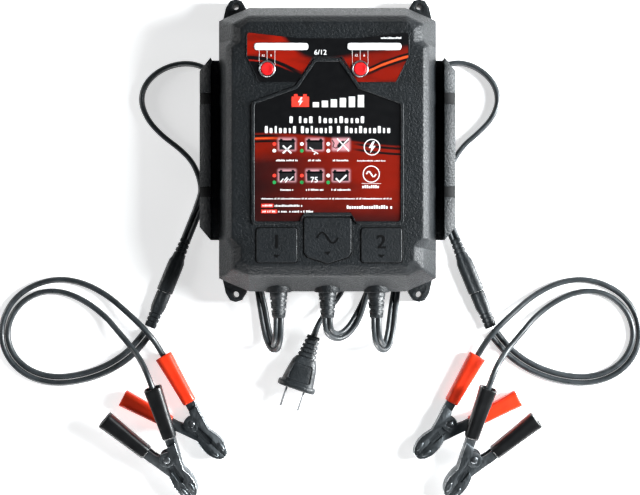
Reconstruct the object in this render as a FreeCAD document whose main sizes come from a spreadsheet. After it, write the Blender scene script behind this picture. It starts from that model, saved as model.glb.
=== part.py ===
import FreeCAD, Part
import math
import os
import Sketcher
from FreeCAD import Placement, Rotation, Vector

# Car battery charger with two outputs, lying on its back.
# Frame: +X to the right and +Y to the top of the front face, +Z out of the front face.
# The origin is the middle of the four mounting holes, on the plane that the charger is screwed to.
# Left and right channels are mirror images about the plane X = mirror_x (cords and clamps) or X = 0 (casing).

os.makedirs("parts", exist_ok=True)
doc = FreeCAD.newDocument("battery_charger")

# ---------------------------------------------------------------- driving sizes, millimetres and degrees

DIMENSIONS = {
    # casing
    "half_width": 75, "half_height": 98, "corner_x": 54, "corner_y": 89, "wall": 2.4,
    "bay_depth": 18, "rear_rim": 33.4, "front_rim": 34.6, "brow_z": 56, "face_z": 60,
    "face_top": 85, "face_bottom": -79.5, "face_waist": 58.6, "face_hip": 65, "face_corner": 54,
    # corner feet with the mounting holes
    "mount_x": 64, "mount_y": 100.5, "mount_hole": 2.2, "foot_top": 22,
    # cord wraps at both sides
    "wrap_inner": 80.4, "wrap_outer": 88.2, "wrap_top": 63, "wrap_bottom": -62.5, "wrap_bevel": 9,
    "wrap_floor": 3, "wrap_height": 42, "wrap_notch": 2,
    # screws between the two shells
    "screw_x": 60, "screw_y": 76, "boss_radius": 4, "boss_top": 43.6, "screw_radius": 1.5,
    # labels, windows, buttons and pads on the face
    "label_thick": 0.4, "label_half": 54.5, "status_half": 49.5, "ridge": 2.0, "ridge_high": 1.2,
    "slot_x": 31.5, "slot_y": 68.5, "slot_long": 36.5, "slot_wide": 4.8,
    "button_left": -41, "button_right": 22, "button_y": 53.3, "button_radius": 4.4, "button_hole": 4.9,
    "bezel_radius": 5.8, "pad_high": 0.8,
    # circuit board and what stands on it
    "board_half_x": 62, "board_half_y": 80, "board_z": 44, "board_thick": 1.6,
    # cords
    "gland_x": 34, "gland_z": 26, "gland_collar": 6.25, "gland_root": 6, "gland_tip": 4.5, "gland_end": -116.5,
    "twin_width": 7.4, "twin_tube": 5.4, "lead_width": 4.2, "mirror_x": -4.9,
    "coil_y": 8, "coil_outer": 47.2, "coil_inner": 33, "coil_low": 0.8, "coil_high": 16.2,
    # mains plug
    "plug_z": 9.8, "plug_relief": 14, "plug_flange_at": 36, "plug_face": 39.3,
    "blade_long": 16, "blade_gap": 12.7,
    # in-line connectors
    "link_z": 4.1, "link_wide": 11.5, "link_tall": 7.6, "link_joint": 40.4, "link_long": 67.3, "pin_long": 11,
    # clamps: pivot to nose, half width of the steel and of its handles, height of the handle's line
    "nose": 33, "jaw_half": 5.2, "nest_half": 3.7, "handle_half": 3.8, "steel": 1.2, "rivet": 1.5,
    "handle_slope": 16.45, "handle_rise": 7.5, "handle_deep": 3.5, "grip_long": 38, "grip_from": 8.5,
}

sheet = doc.addObject("Spreadsheet::Sheet", "Sizes")
for row, (alias, number) in enumerate(DIMENSIONS.items(), start=1):
    sheet.set("A%d" % row, str(number))
    sheet.setAlias("A%d" % row, alias)
doc.recompute()


class Size:
    """A number together with the spreadsheet expression that it comes from."""

    def __init__(self, value, text):
        self.value = value
        self.text = text

    def joined(self, other, sign, value):
        other_text = other.text if isinstance(other, Size) else repr(other)
        return Size(value, "(%s %s %s)" % (self.text, sign, other_text))

    def __add__(self, other):
        return self.joined(other, "+", self.value + number(other))

    def __sub__(self, other):
        return self.joined(other, "-", self.value - number(other))

    def __mul__(self, other):
        return self.joined(other, "*", self.value * number(other))

    def __truediv__(self, other):
        return self.joined(other, "/", self.value / number(other))

    def __neg__(self):
        return Size(-self.value, "(-%s)" % self.text)

    def __radd__(self, other):
        return self + other

    def __rsub__(self, other):
        return -self + other

    def __rmul__(self, other):
        return self * other


def number(size):
    return size.value if isinstance(size, Size) else float(size)


def cell(alias):
    return Size(float(DIMENSIONS[alias]), "Sizes." + alias)


def bind(thing, path, size):
    """Binds one size of an object to the sheet, or sets it when it is a plain number."""
    if isinstance(size, Size):
        thing.setExpression(path, size.text)
    else:
        thing.setExpression(path, repr(float(size)))


sub_parts = []


def named(thing, label, placement=None):
    """Gives a finished sub-part its name and place, and puts it on the list of files."""
    thing.Label = label
    if placement is not None:
        thing.Placement = placement
    sub_parts.append(thing)
    return thing


# ---------------------------------------------------------------- sketches and features

def new_body(name):
    return doc.addObject("PartDesign::Body", name + "_body")


def sketch(body, name, plane, loops=(), circles=(), level=0):
    """A sketch on one of the body's own planes, raised by level; loops are lists of (x, y) corners."""
    made = body.newObject("Sketcher::SketchObject", name)
    origin_plane = [f for f in body.Origin.OriginFeatures if f.Role == plane][0]
    made.AttachmentSupport = [(origin_plane, "")]
    made.MapMode = "FlatFace"
    bind(made, "AttachmentOffset.Base.z", level)
    for loop in loops:
        first = made.GeometryCount
        count = len(loop)
        for i, (x, y) in enumerate(loop):
            next_x, next_y = loop[(i + 1) % count]
            start = Vector(number(x), number(y), 0)
            made.addGeometry(Part.LineSegment(start, Vector(number(next_x), number(next_y), 0)), False)
        for i, (x, y) in enumerate(loop):
            made.addConstraint(Sketcher.Constraint("Coincident", first + i, 2, first + (i + 1) % count, 1))
            for kind, size in (("DistanceX", x), ("DistanceY", y)):
                place = made.addConstraint(Sketcher.Constraint(kind, -1, 1, first + i, 1, number(size)))
                if isinstance(size, Size):
                    made.setExpression("Constraints[%d]" % place, size.text)
    for x, y, radius in circles:
        centre = Vector(number(x), number(y), 0)
        ring = made.addGeometry(Part.Circle(centre, Vector(0, 0, 1), number(radius)), False)
        for kind, size in (("DistanceX", x), ("DistanceY", y)):
            place = made.addConstraint(Sketcher.Constraint(kind, -1, 1, ring, 3, number(size)))
            if isinstance(size, Size):
                made.setExpression("Constraints[%d]" % place, size.text)
        place = made.addConstraint(Sketcher.Constraint("Radius", ring, number(radius)))
        if isinstance(radius, Size):
            made.setExpression("Constraints[%d]" % place, radius.text)
    return made


def pad(body, name, profile, length, midplane=False):
    feature = body.newObject("PartDesign::Pad", name)
    feature.Profile = profile
    bind(feature, "Length", length)
    if midplane:
        feature.SideType = "Symmetric"
    return feature


def pocket(body, name, profile, length, reverse=False, midplane=False):
    """Cuts from the sketch's plane along -normal, or +normal when reversed."""
    feature = body.newObject("PartDesign::Pocket", name)
    feature.Profile = profile
    bind(feature, "Length", length)
    feature.Reversed = reverse
    if midplane:
        feature.SideType = "Symmetric"
    return feature


def loft(body, name, sections, subtract=False):
    feature = body.newObject("PartDesign::SubtractiveLoft" if subtract else "PartDesign::AdditiveLoft", name)
    feature.Profile = sections[0]
    feature.Sections = sections[1:]
    feature.Ruled = True
    return feature


def rectangle(x_low, x_high, y_low, y_high):
    return [(x_low, y_low), (x_high, y_low), (x_high, y_high), (x_low, y_high)]


def octagon(half_x, half_y, cut):
    """A rectangle about the origin with its corners cut off."""
    return [(half_x, cut - half_y), (half_x, half_y - cut), (half_x - cut, half_y), (cut - half_x, half_y),
            (-half_x, half_y - cut), (-half_x, cut - half_y), (cut - half_x, -half_y), (half_x - cut, -half_y)]


def mirrored(points):
    """Adds the mirror image about X = 0 to points that run up the right-hand side."""
    return points + [(-x, y) for x, y in reversed(points)]


def drop_inward(points, amount):
    """Moves each corner towards the middle by the same amount along X and along Y."""
    return [(x - amount * math.copysign(1, number(x)), y - amount * math.copysign(1, number(y)))
            for x, y in points]


# ---------------------------------------------------------------- Part primitives

def box(name, sizes, corner):
    made = doc.addObject("Part::Box", name)
    for prop, size in zip(("Length", "Width", "Height"), sizes):
        bind(made, prop, size)
    for axis, size in zip("xyz", corner):
        bind(made, "Placement.Base." + axis, size)
    return made


def cylinder(name, radius, height, base, along=None):
    """A cylinder from base; along is "x" or "y" when it doesn't stand along Z."""
    made = doc.addObject("Part::Cylinder", name)
    bind(made, "Radius", radius)
    bind(made, "Height", height)
    if along == "x":
        made.Placement = Placement(Vector(), Rotation(Vector(0, 1, 0), 90))
    if along == "y":
        made.Placement = Placement(Vector(), Rotation(Vector(1, 0, 0), -90))
    for axis, size in zip("xyz", base):
        bind(made, "Placement.Base." + axis, size)
    return made


def group(label, pieces):
    """Several separate solids that share one file."""
    made = doc.addObject("Part::Compound", label + "_group")
    made.Links = pieces
    return named(made, label)


def fused(name, pieces):
    made = doc.addObject("Part::MultiFuse", name)
    made.Shapes = pieces
    return made


def cut(name, base, tool):
    made = doc.addObject("Part::Cut", name)
    made.Base = base
    made.Tool = tool
    return made


# ---------------------------------------------------------------- casing

def side_outline(corner, upper, side_up, side_low, waist_x, side_x, lower):
    """Right-hand side of a casing section, from the bottom corner to the top corner."""
    return [(corner, lower[0]), (waist_x, lower[1]), (waist_x, side_low[0]), (side_x, side_low[1]),
            (side_x, side_up[0]), (waist_x, side_up[1]), (waist_x, upper[0]), (corner, upper[1])]


rim = mirrored(side_outline(cell("corner_x"), (cell("corner_y"), cell("half_height")), (70, 74), (-70, -64),
                            cell("half_width"), cell("half_width"), (-cell("half_height"), -cell("corner_y"))))
brow = mirrored(side_outline(cell("corner_x") - 0.5, (84.5, cell("face_top") + 5), (69.5, 73), (-68, -62),
                             cell("half_width") - 10, cell("half_width") - 6,
                             (-cell("half_height") + 10.5, -82.5)))
face = mirrored(side_outline(cell("face_corner"), (80.5, cell("face_top")), (68, 71), (-67, -61),
                             cell("face_waist"), cell("face_hip"), (cell("face_bottom"), -75.5)))
SCREW_SIGNS = [(-1, -1), (1, -1), (-1, 0), (1, 0), (-1, 1), (1, 1)]
screw_spots = [(cell("screw_x") * sx, cell("screw_y") * sy) for sx, sy in SCREW_SIGNS]

button_places = (("1", cell("button_left")), ("2", cell("button_right")))
status_outline = [(-18, -50), (-16, -44), (16, -44), (18, -50), (cell("status_half"), -50),
                  (cell("status_half"), 29.6), (20.5, 40), (8, 58.3), (-8, 58.3), (-20.5, 40),
                  (-cell("status_half"), 29.6), (-cell("status_half"), -50)]
ridge_outline = [(-19.5, -52), (-17.4, -46), (17.4, -46), (19.5, -52), (cell("status_half") + cell("ridge"), -52),
                 (cell("status_half") + cell("ridge"), 31), (21.9, 41.7), (9.1, 60.3), (-9.1, 60.3),
                 (-21.9, 41.7), (-cell("status_half") - cell("ridge"), 31),
                 (-cell("status_half") - cell("ridge"), -52)]
control_outline = mirrored([(9.3, 61.1), (20.3, 44.5), (46, 44.5), (cell("label_half"), 61.5),
                            (cell("label_half"), 78), (20, 74)])


def slot_outline(middle, extra):
    half_long = cell("slot_long") / 2 + extra
    half_wide = cell("slot_wide") / 2 + extra
    return [(middle + x, cell("slot_y") + y) for x, y in octagon(half_long, half_wide, cell("slot_wide") / 4)]


def front_housing():
    body = new_body("front_housing")
    outer = [sketch(body, "rim_outline", "XY_Plane", [rim], level=cell("front_rim")),
             sketch(body, "brow_outline", "XY_Plane", [brow], level=cell("brow_z")),
             sketch(body, "face_outline", "XY_Plane", [face], level=cell("face_z"))]
    loft(body, "front_skin", outer)
    wall = cell("wall")
    inner = [sketch(body, "rim_inside", "XY_Plane", [drop_inward(rim, wall)], level=cell("front_rim")),
             sketch(body, "brow_inside", "XY_Plane", [drop_inward(brow, wall)], level=cell("brow_z") - wall / 2),
             sketch(body, "face_inside", "XY_Plane", [drop_inward(face, wall)], level=cell("face_z") - wall)]
    loft(body, "front_hollow", inner, subtract=True)
    bosses = sketch(body, "boss_circles", "XY_Plane",
                    circles=[(x, y, cell("boss_radius")) for x, y in screw_spots],
                    level=cell("front_rim"))
    pad(body, "bosses", bosses, cell("boss_top") - cell("front_rim"))
    ribs = [rectangle(cell("screw_x") - 3, cell("half_width") - 3.4, y - 1, y + 1) for x, y in screw_spots[1::2]]
    ribs += [rectangle(3.4 - cell("half_width"), 3 - cell("screw_x"), y - 1, y + 1) for x, y in screw_spots[0::2]]
    pad(body, "boss_ribs", sketch(body, "rib_outlines", "XY_Plane", ribs, level=cell("front_rim")), 3.6)
    screw_holes = sketch(body, "screw_circles", "XY_Plane",
                         circles=[(x, y, cell("screw_radius") + 0.1) for x, y in screw_spots],
                         level=cell("front_rim"))
    pocket(body, "screw_holes", screw_holes, cell("boss_top") - cell("front_rim") - 1.2, reverse=True)
    holes = sketch(body, "button_circles", "XY_Plane",
                   circles=[(x, cell("button_y"), cell("button_hole")) for tag, x in button_places],
                   level=cell("face_z"))
    pocket(body, "button_holes", holes, cell("wall") * 2)
    slots = sketch(body, "slot_outlines", "XY_Plane",
                   [slot_outline(cell("slot_x") * side, 0.2) for side in (-1, 1)], level=cell("face_z"))
    pocket(body, "display_slots", slots, cell("wall") * 2)
    ridge = sketch(body, "ridge_plan", "XY_Plane", [ridge_outline], level=cell("face_z"))
    pad(body, "label_ridge", ridge, cell("ridge_high"))
    seat = sketch(body, "label_seat_plan", "XY_Plane", [status_outline],
                  level=cell("face_z") + cell("ridge_high"))
    pocket(body, "label_seat", seat, cell("ridge_high"))
    moved = [[(x + shift, y - 66) for x, y in octagon(13.8, 11.6, 2)] for shift in (-34.5, 36.5)]
    moved.append([(-13, -74), (0, -78.6), (13, -74), (16, -70), (16, -47.5), (-16, -47.5), (-16, -70)])
    plates = sketch(body, "pad_outlines", "XY_Plane", moved, level=cell("face_z"))
    pad(body, "channel_pads", plates, cell("pad_high"))
    arches = []
    for side in (-1, 0, 1):
        middle = cell("gland_x") * side
        low = cell("front_rim")
        arches.append([(middle + 9, low), (middle + 8.3, low + 3.6), (middle + 6.3, low + 6.5),
                       (middle + 3.4, low + 8.4), (middle, low + 9), (middle - 3.4, low + 8.4), (middle - 6.3, low + 6.5),
                       (middle - 8.3, low + 3.6), (middle - 9, low)])
    arch_plan = sketch(body, "arch_outlines", "XZ_Plane", arches, level=cell("half_height") + 0.6)
    pad(body, "gland_arches", arch_plan, 7).Reversed = True
    named(body, "front_housing")


def foot_outline(sign_x, sign_y):
    """Plan of one corner foot: a rounded lug about the mounting hole that runs in under the casing."""
    hole_x = cell("mount_x")
    hole_y = cell("mount_y")
    right_top = [(hole_x - 10, hole_y - 12), (hole_x - 7, hole_y - 1), (hole_x - 4, hole_y + 4),
                 (hole_x, hole_y + 5.2), (hole_x + 4, hole_y + 4), (hole_x + 7, hole_y - 1),
                 (hole_x + 9.5, hole_y - 12), (hole_x + 4, hole_y - 16), (hole_x - 5, hole_y - 16)]
    return [(x * sign_x, y * sign_y) for x, y in right_top]


def wrap_outline(side, inner):
    outer = cell("wrap_outer")
    bevel = cell("wrap_bevel")
    outline = [(inner, cell("wrap_bottom")), (cell("wrap_inner"), cell("wrap_bottom")),
               (outer, cell("wrap_bottom") + bevel), (outer, cell("wrap_top") - bevel),
               (cell("wrap_inner"), cell("wrap_top")), (inner, cell("wrap_top"))]
    return [(x * side, y) for x, y in outline]


def rear_housing():
    body = new_body("rear_housing")
    shell = sketch(body, "tray_outline", "XY_Plane", [rim], level=cell("bay_depth"))
    pad(body, "tray", shell, cell("rear_rim") - cell("bay_depth"))
    hollow = sketch(body, "tray_inside", "XY_Plane", [drop_inward(rim, cell("wall"))],
                    level=cell("bay_depth") + cell("wall"))
    pocket(body, "tray_hollow", hollow, cell("rear_rim") - cell("bay_depth"), reverse=True)
    corners = [(sx, sy) for sx in (-1, 1) for sy in (-1, 1)]
    feet = sketch(body, "foot_outlines", "XY_Plane", [foot_outline(sx, sy) for sx, sy in corners])
    pad(body, "feet", feet, cell("foot_top"))
    again = sketch(body, "tray_inside_again", "XY_Plane", [drop_inward(rim, cell("wall"))],
                   level=cell("bay_depth") + cell("wall"))
    pocket(body, "feet_trimmed", again, cell("rear_rim") - cell("bay_depth"), reverse=True)
    floors = sketch(body, "wrap_floors", "XY_Plane",
                    [wrap_outline(side, cell("half_width") - 1.5) for side in (-1, 1)], level=cell("bay_depth"))
    pad(body, "wrap_floor_plates", floors, cell("wrap_floor"))
    flanges = sketch(body, "wrap_flanges", "XY_Plane",
                     [wrap_outline(side, cell("wrap_inner") - 0.01)[1:5] for side in (-1, 1)],
                     level=cell("bay_depth"))
    pad(body, "wrap_flange_walls", flanges, cell("wrap_height") - cell("bay_depth"))
    notches = [rectangle(x_low, x_high, y_low, y_high) for x_low, x_high in ((-90, -79), (79, 90))
               for y_low, y_high in ((31, 39), (-33, -25.5))]
    pocket(body, "wrap_notches", sketch(body, "notch_outlines", "XY_Plane", notches, level=cell("wrap_height")),
           cell("wrap_notch"))
    bosses = sketch(body, "boss_circles", "XY_Plane",
                    circles=[(x, y, cell("boss_radius")) for x, y in screw_spots],
                    level=cell("bay_depth"))
    pad(body, "bosses", bosses, cell("rear_rim") - cell("bay_depth"))
    holes = sketch(body, "screw_circles", "XY_Plane",
                   circles=[(x, y, cell("screw_radius") + 0.2) for x, y in screw_spots], level=cell("rear_rim"))
    pocket(body, "screw_holes", holes, cell("rear_rim"))
    heads = sketch(body, "head_circles", "XY_Plane", circles=[(x, y, 3) for x, y in screw_spots],
                   level=cell("bay_depth"))
    pocket(body, "head_recesses", heads, 2, reverse=True)
    mounts = sketch(body, "mount_circles", "XY_Plane",
                    circles=[(cell("mount_x") * sx, cell("mount_y") * sy, cell("mount_hole"))
                             for sx, sy in corners])
    pocket(body, "mount_holes", mounts, cell("foot_top") + 1, reverse=True)
    glands = sketch(body, "gland_circles", "XZ_Plane",
                    circles=[(cell("gland_x") * side, cell("gland_z"), 5) for side in (-1, 0, 1)],
                    level=cell("half_height") + 1)
    pocket(body, "gland_holes", glands, cell("wall") * 2)
    named(body, "rear_housing")


def housing_gasket():
    body = new_body("housing_gasket")
    loops = [drop_inward(rim, 0.4), drop_inward(rim, 2)]
    pad(body, "ring", sketch(body, "ring_outlines", "XY_Plane", loops, level=cell("rear_rim")),
        cell("front_rim") - cell("rear_rim"))
    named(body, "housing_gasket")


def housing_screws():
    screws = []
    for i, (x, y) in enumerate(screw_spots):
        head = cylinder("screw_head_%d" % i, 2.7, 1.7, (x, y, cell("bay_depth") + 0.2))
        shank = cylinder("screw_shank_%d" % i, cell("screw_radius"), 22, (x, y, cell("bay_depth") + 1))
        screws.append(fused("screw_%d" % i, [head, shank]))
    group("housing_screws", screws)


# ---------------------------------------------------------------- face: labels, windows, buttons

def labels():
    body = new_body("control_label")
    loops = [control_outline] + [slot_outline(cell("slot_x") * side, 0.3) for side in (-1, 1)]
    rings = [(x, cell("button_y"), cell("bezel_radius") + 0.1) for tag, x in button_places]
    pad(body, "film", sketch(body, "film_outline", "XY_Plane", loops, rings, level=cell("face_z")),
        cell("label_thick"))
    named(body, "control_label")
    body = new_body("status_label")
    inset = [(x - math.copysign(0.2, number(x)), y - math.copysign(0.2, number(y))) for x, y in status_outline]
    outline = sketch(body, "film_outline", "XY_Plane", [inset], level=cell("face_z"))
    pad(body, "film", outline, cell("label_thick"))
    named(body, "status_label")


def display_windows():
    panes = []
    for tag, side in (("left", -1), ("right", 1)):
        body = new_body("window_" + tag)
        outline = sketch(body, "pane_outline", "XY_Plane", [slot_outline(cell("slot_x") * side, 0)],
                         level=cell("face_z") - cell("wall"))
        pad(body, "pane", outline, cell("wall") + 0.9)
        flange = sketch(body, "flange_outline", "XY_Plane", [slot_outline(cell("slot_x") * side, 1.5)],
                        level=cell("face_z") - cell("wall"))
        pad(body, "flange", flange, 1).Reversed = True
        panes.append(body)
    group("display_windows", panes)


def buttons():
    bezels = []
    for tag, x in button_places:
        outer = cylinder("bezel_disc_" + tag, cell("bezel_radius"), 1.6, (x, cell("button_y"), cell("face_z")))
        inner = cylinder("bezel_bore_" + tag, cell("button_hole"), 1.6, (x, cell("button_y"), cell("face_z")))
        bezels.append(cut("bezel_" + tag, outer, inner))
        body = new_body("mode_button_" + tag)
        profile = [(0, 51.6), (2, 51.6), (2, 56.1), (6.2, 56.1), (6.2, 57.1), (cell("button_radius"), 57.1),
                   (cell("button_radius"), 61.5), (cell("button_radius") - 0.8, 62.1), (0, 62.1)]
        outline = sketch(body, "half_section", "XZ_Plane", [profile])
        turned = body.newObject("PartDesign::Revolution", "cap")
        turned.Profile = outline
        turned.ReferenceAxis = (outline, ["V_Axis"])
        turned.Angle = 360
        body.Placement = Placement(Vector(number(x), DIMENSIONS["button_y"], 0), Rotation())
        bind(body, "Placement.Base.x", x)
        bind(body, "Placement.Base.y", cell("button_y"))
        named(body, "mode_button_" + tag)
    group("button_bezels", bezels)


# ---------------------------------------------------------------- inside

def electronics():
    board_top = cell("board_z") + cell("board_thick")
    body = new_body("circuit_board")
    plate = sketch(body, "board_outline", "XY_Plane", [octagon(cell("board_half_x"), cell("board_half_y"), 8)],
                   level=cell("board_z"))
    pad(body, "board", plate, cell("board_thick"))
    named(body, "circuit_board")
    switches = []
    for tag, x in button_places:
        case = box("switch_case_" + tag, (6, 6, 3.4), (x - 3, cell("button_y") - 3, board_top))
        tip = cylinder("switch_tip_" + tag, 1.7, 1.4, (x, cell("button_y"), board_top + 3))
        switches.append(fused("tact_switch_" + tag, [case, tip]))
    group("tact_switches", switches)
    lamps = []
    for column in (-31.5, -13.5, 4.5):
        for row in (4.2, -0.2, -17.8, -22.2):
            lamps.append(cylinder("lamp", 1.5, 9, (column, row, board_top)))
    group("indicator_leds", lamps)
    group("power_transformers", [box("transformer", (34, 30, 22), (x - 17, -8, cell("board_z") - 22))
                                 for x in (-30, 30)])
    group("filter_capacitors", [cylinder("capacitor", 8, 20, (x, 42, cell("board_z") - 20))
                                for x in (-30, -10, 10, 30)])
    sinks = []
    for x in (-30, 30):
        base = box("sink_base", (34, 2.4, 20), (x - 17, -34, cell("board_z") - 20))
        fins = [box("sink_fin", (1.4, 10, 20), (x - 17 + 6.52 * i, -44, cell("board_z") - 20)) for i in range(6)]
        sinks.append(fused("sink", [base] + fins))
    group("heat_sinks", sinks)
    group("power_transistors", [box("transistor", (10, 4.4, 15), (x - 5, -31.6, cell("board_z") - 15))
                                for x in (-38, -22, 22, 38)])
    fuse = cylinder("fuse_tube", 2.6, 20, (-10, -62, board_top + 4), along="x")
    clips = [box("fuse_clip", (4, 7, 1.4), (x, -65.5, board_top)) for x in (-9, 5)]
    group("mains_fuse", [fuse] + clips)


# ---------------------------------------------------------------- cords

def tube(name, points, width):
    """A round tube along straight runs joined by tangent arcs that are as large as the runs allow."""
    corners = [Vector(*p) for p in points]
    edges = []
    start = corners[0]
    radii = []
    length = 0.0
    for before, corner, after in zip(corners, corners[1:], corners[2:]):
        back = before.sub(corner)
        ahead = after.sub(corner)
        shorter = min(back.Length, ahead.Length)
        half_turn = (math.pi - back.getAngle(ahead)) / 2
        reach = 0.45 * shorter
        radius = reach / math.tan(half_turn)
        radii.append(round(radius))
        entry = corner.add(back.normalize().multiply(reach))
        leave = corner.add(ahead.normalize().multiply(reach))
        middle = entry.add(leave).multiply(0.5)
        inward = middle.sub(corner).normalize()
        top = corner.add(inward.multiply(radius / math.cos(half_turn) - radius))
        edges.append(Part.LineSegment(start, entry).toShape())
        edges.append(Part.Arc(entry, top, leave).toShape())
        length += start.distanceToPoint(entry) + radius * 2 * half_turn
        start = leave
    edges.append(Part.LineSegment(start, corners[-1]).toShape())
    length += start.distanceToPoint(corners[-1])
    path = Part.Wire(edges)
    circle = Part.Circle(corners[0], corners[1].sub(corners[0]), width / 2)
    profile = Part.Wire([circle.toShape()])
    shape = path.makePipeShell([profile], True, True)
    ideal = math.pi * width * width / 4 * length
    print("%-16s length %.0f, volume / (section x length) %.4f, lowest %.2f, radii %s"
          % (name, length, shape.Volume / ideal, shape.BoundBox.ZMin, radii))
    return shape


def cord(label, shapes):
    made = doc.addObject("Part::Feature", label + "_shape")
    made.Shape = shapes[0] if len(shapes) == 1 else Part.makeCompound(shapes)
    return named(made, label)


def flipped(points):
    """The mirror image of a left-hand route, for the right-hand channel."""
    return [(2 * DIMENSIONS["mirror_x"] - x, y, z) for x, y, z in points]


def side_by_side(points, shift):
    """Moves a level route sideways, to the left of its direction when shift is positive."""
    moved = []
    for i, (x, y, z) in enumerate(points):
        before = points[max(i - 1, 0)]
        after = points[min(i + 1, len(points) - 1)]
        along = Vector(after[0] - before[0], after[1] - before[1], 0).normalize()
        moved.append((x - along.y * shift, y + along.x * shift, z))
    return moved


GLAND_END = DIMENSIONS["gland_end"]
GLAND_X = DIMENSIONS["gland_x"]
GLAND_Z = DIMENSIONS["gland_z"]

CORD_1 = [(-GLAND_X, GLAND_END, GLAND_Z), (-GLAND_X, -125, GLAND_Z), (-34.8, -135, 22.5), (-36.5, -141.5, 15.5),
          (-39.5, -140, 8), (-42.5, -129, 4.6), (-45.5, -112, 4), (-49, -93, 4), (-58, -68, 4), (-63.5, -38, 4),
          (-65, -4, 4), (-66.5, 24, 4), (-73, 46, 4), (-85, 59.5, 4), (-100, 63.5, 4), (-116, 59.5, 4),
          (-128, 50, 4), (-132.5, 37, 4), (-127.5, 23, 4), (-117, 11.5, 4), (-104, 2, 4), (-94.5, -8, 4),
          (-89, -23, 4), (-90, -37, 4), (-95.3, -50, 4.1)]
CORD_2 = [(GLAND_X, GLAND_END, GLAND_Z), (GLAND_X, -125, GLAND_Z), (35.3, -135, 22.5), (38.5, -141.5, 15.5),
          (42, -140, 8), (44.5, -129, 4.6), (46.5, -112, 4), (49, -93, 4), (56, -68, 4), (62, -38, 4),
          (64.5, -4, 4), (66, 24, 4), (70, 46, 4), (79, 59.5, 4), (92, 64, 4), (106, 60, 4),
          (117.5, 50, 4), (121.5, 37, 4), (117, 24, 4), (107, 13.5, 4), (96, 4.5, 4), (88, -8, 4),
          (82, -23, 4), (80.5, -37, 4), (85.5, -50, 4.1)]
CORD_AC_IN = [(0, GLAND_END, GLAND_Z), (0, -123, GLAND_Z), (2.5, -130.5, 20.5), (9, -133.5, 12), (16, -129, 6.5),
              (22.5, -117, 4.2), (27.5, -101, 4), (33.5, -82, 4), (39.5, -60, 4), (43.5, -37, 4), (45, -14, 4.3),
              (43.5, 5, 4.6)]
CORD_AC_OUT = [(-19, -29, 12), (-4, -37.5, 11), (8, -48, 8), (15.5, -61.5, 4.8), (17, -77, 4), (13.5, -92, 4),
               (7.5, -103.5, 5), (-0.5, -112.5, 7.5), (-6.7, -121.6, 9.8)]

PLUG_START = Vector(-9.6, -130, DIMENSIONS["plug_z"])
PLUG_HEADING = -109.0
LINK_START = Vector(-100, -61.6, DIMENSIONS["link_z"])
LINK_HEADING = -112.3

PAIR = [(-127, -127.5, 2.6), (-134.5, -137.5, 2.2), (-145, -147, 2.2), (-159, -155, 2.2), (-176, -160.3, 2.2),
        (-194, -162, 2.2), (-211, -157.5, 2.2), (-223.5, -147, 2.2), (-229.5, -132, 2.2)]
RED_TAIL = [(-229.5, -116, 2.2), (-220.5, -102, 2.2), (-206, -93, 2.2), (-189, -89.5, 2.2), (-171.5, -93, 2.2),
            (-155, -102, 3), (-142, -113, 6.4), (-132.5, -121.5, 9.2), (-125, -129.5, 9.4)]
BLACK_TAIL = [(-224.5, -116.5, 2.2), (-215.5, -105, 2.2), (-202, -98.5, 2.2), (-187, -98.8, 2.2),
              (-171.5, -105.5, 2.2), (-157.5, -116, 3.6), (-147.5, -127, 8), (-140, -135.5, 10.2),
              (-133.5, -143, 14)]

CLAMPS = {
    "red": {"pivot": Vector(-96, -192, 5.8), "heading": -44.0, "pitch": 0.0, "roll": 0.0, "straight": 8},
    "black": {"pivot": Vector(-112.5, -215.5, 13), "heading": -55.5, "pitch": 9.3, "roll": 8.0, "straight": 13},
}


def turned(heading, pitch=0.0, roll=0.0):
    """Heading about Z, then the nose pitched down, then the roll about its own length."""
    about_z = Rotation(Vector(0, 0, 1), heading)
    about_y = Rotation(Vector(0, 1, 0), pitch)
    about_x = Rotation(Vector(1, 0, 0), roll)
    return about_z.multiply(about_y).multiply(about_x)


def clamp_place(colour, channel):
    """Placement of a clamp's own frame: pivot at the origin, nose along +X, wired handle at +Y."""
    facts = CLAMPS[colour]
    pivot = facts["pivot"]
    if channel == 1:
        return Placement(pivot, turned(facts["heading"], facts["pitch"], facts["roll"]))
    pivot = Vector(2 * DIMENSIONS["mirror_x"] - pivot.x, pivot.y, pivot.z)
    return Placement(pivot, turned(180 - facts["heading"], facts["pitch"], 180 - facts["roll"]))


def link_place(channel):
    if channel == 1:
        return Placement(LINK_START, turned(LINK_HEADING))
    start = Vector(2 * DIMENSIONS["mirror_x"] - LINK_START.x, LINK_START.y, LINK_START.z)
    return Placement(start, turned(180 - LINK_HEADING))


def handle_place(side=1):
    """Frame of a handle within its clamp: X runs along the handle, away from the jaws."""
    slope = DIMENSIONS["handle_slope"]
    root = Vector(-3, side * DIMENSIONS["handle_rise"], 0)
    return Placement(root, Rotation(Vector(0, 0, 1), side * (180 - slope)))


def gland(label, x):
    body = new_body(label)
    wall_y = -cell("half_height")
    levels = [(wall_y + 3.4, 4.8), (wall_y, 4.8), (wall_y, cell("gland_collar")),
              (wall_y - 4, cell("gland_collar")), (wall_y - 4.6, cell("gland_root"))]
    for i in range(4):
        ring = wall_y - 6.2 - 3 * i
        radius = cell("gland_root") - 0.32 * (i + 1)
        levels += [(ring, radius), (ring, radius - 0.8), (ring - 1.2, radius - 0.9), (ring - 1.2, radius - 0.2)]
    levels += [(cell("gland_end"), cell("gland_tip"))]
    profile = [(0, wall_y + 3.4)] + [(radius, y) for y, radius in levels] + [(0, cell("gland_end"))]
    outline = sketch(body, "half_section", "XY_Plane", [profile])
    turned_part = body.newObject("PartDesign::Revolution", "sleeve")
    turned_part.Profile = outline
    turned_part.ReferenceAxis = (outline, ["V_Axis"])
    turned_part.Angle = 360
    bind(body, "Placement.Base.x", x)
    bind(body, "Placement.Base.z", cell("gland_z"))
    named(body, label)


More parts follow.
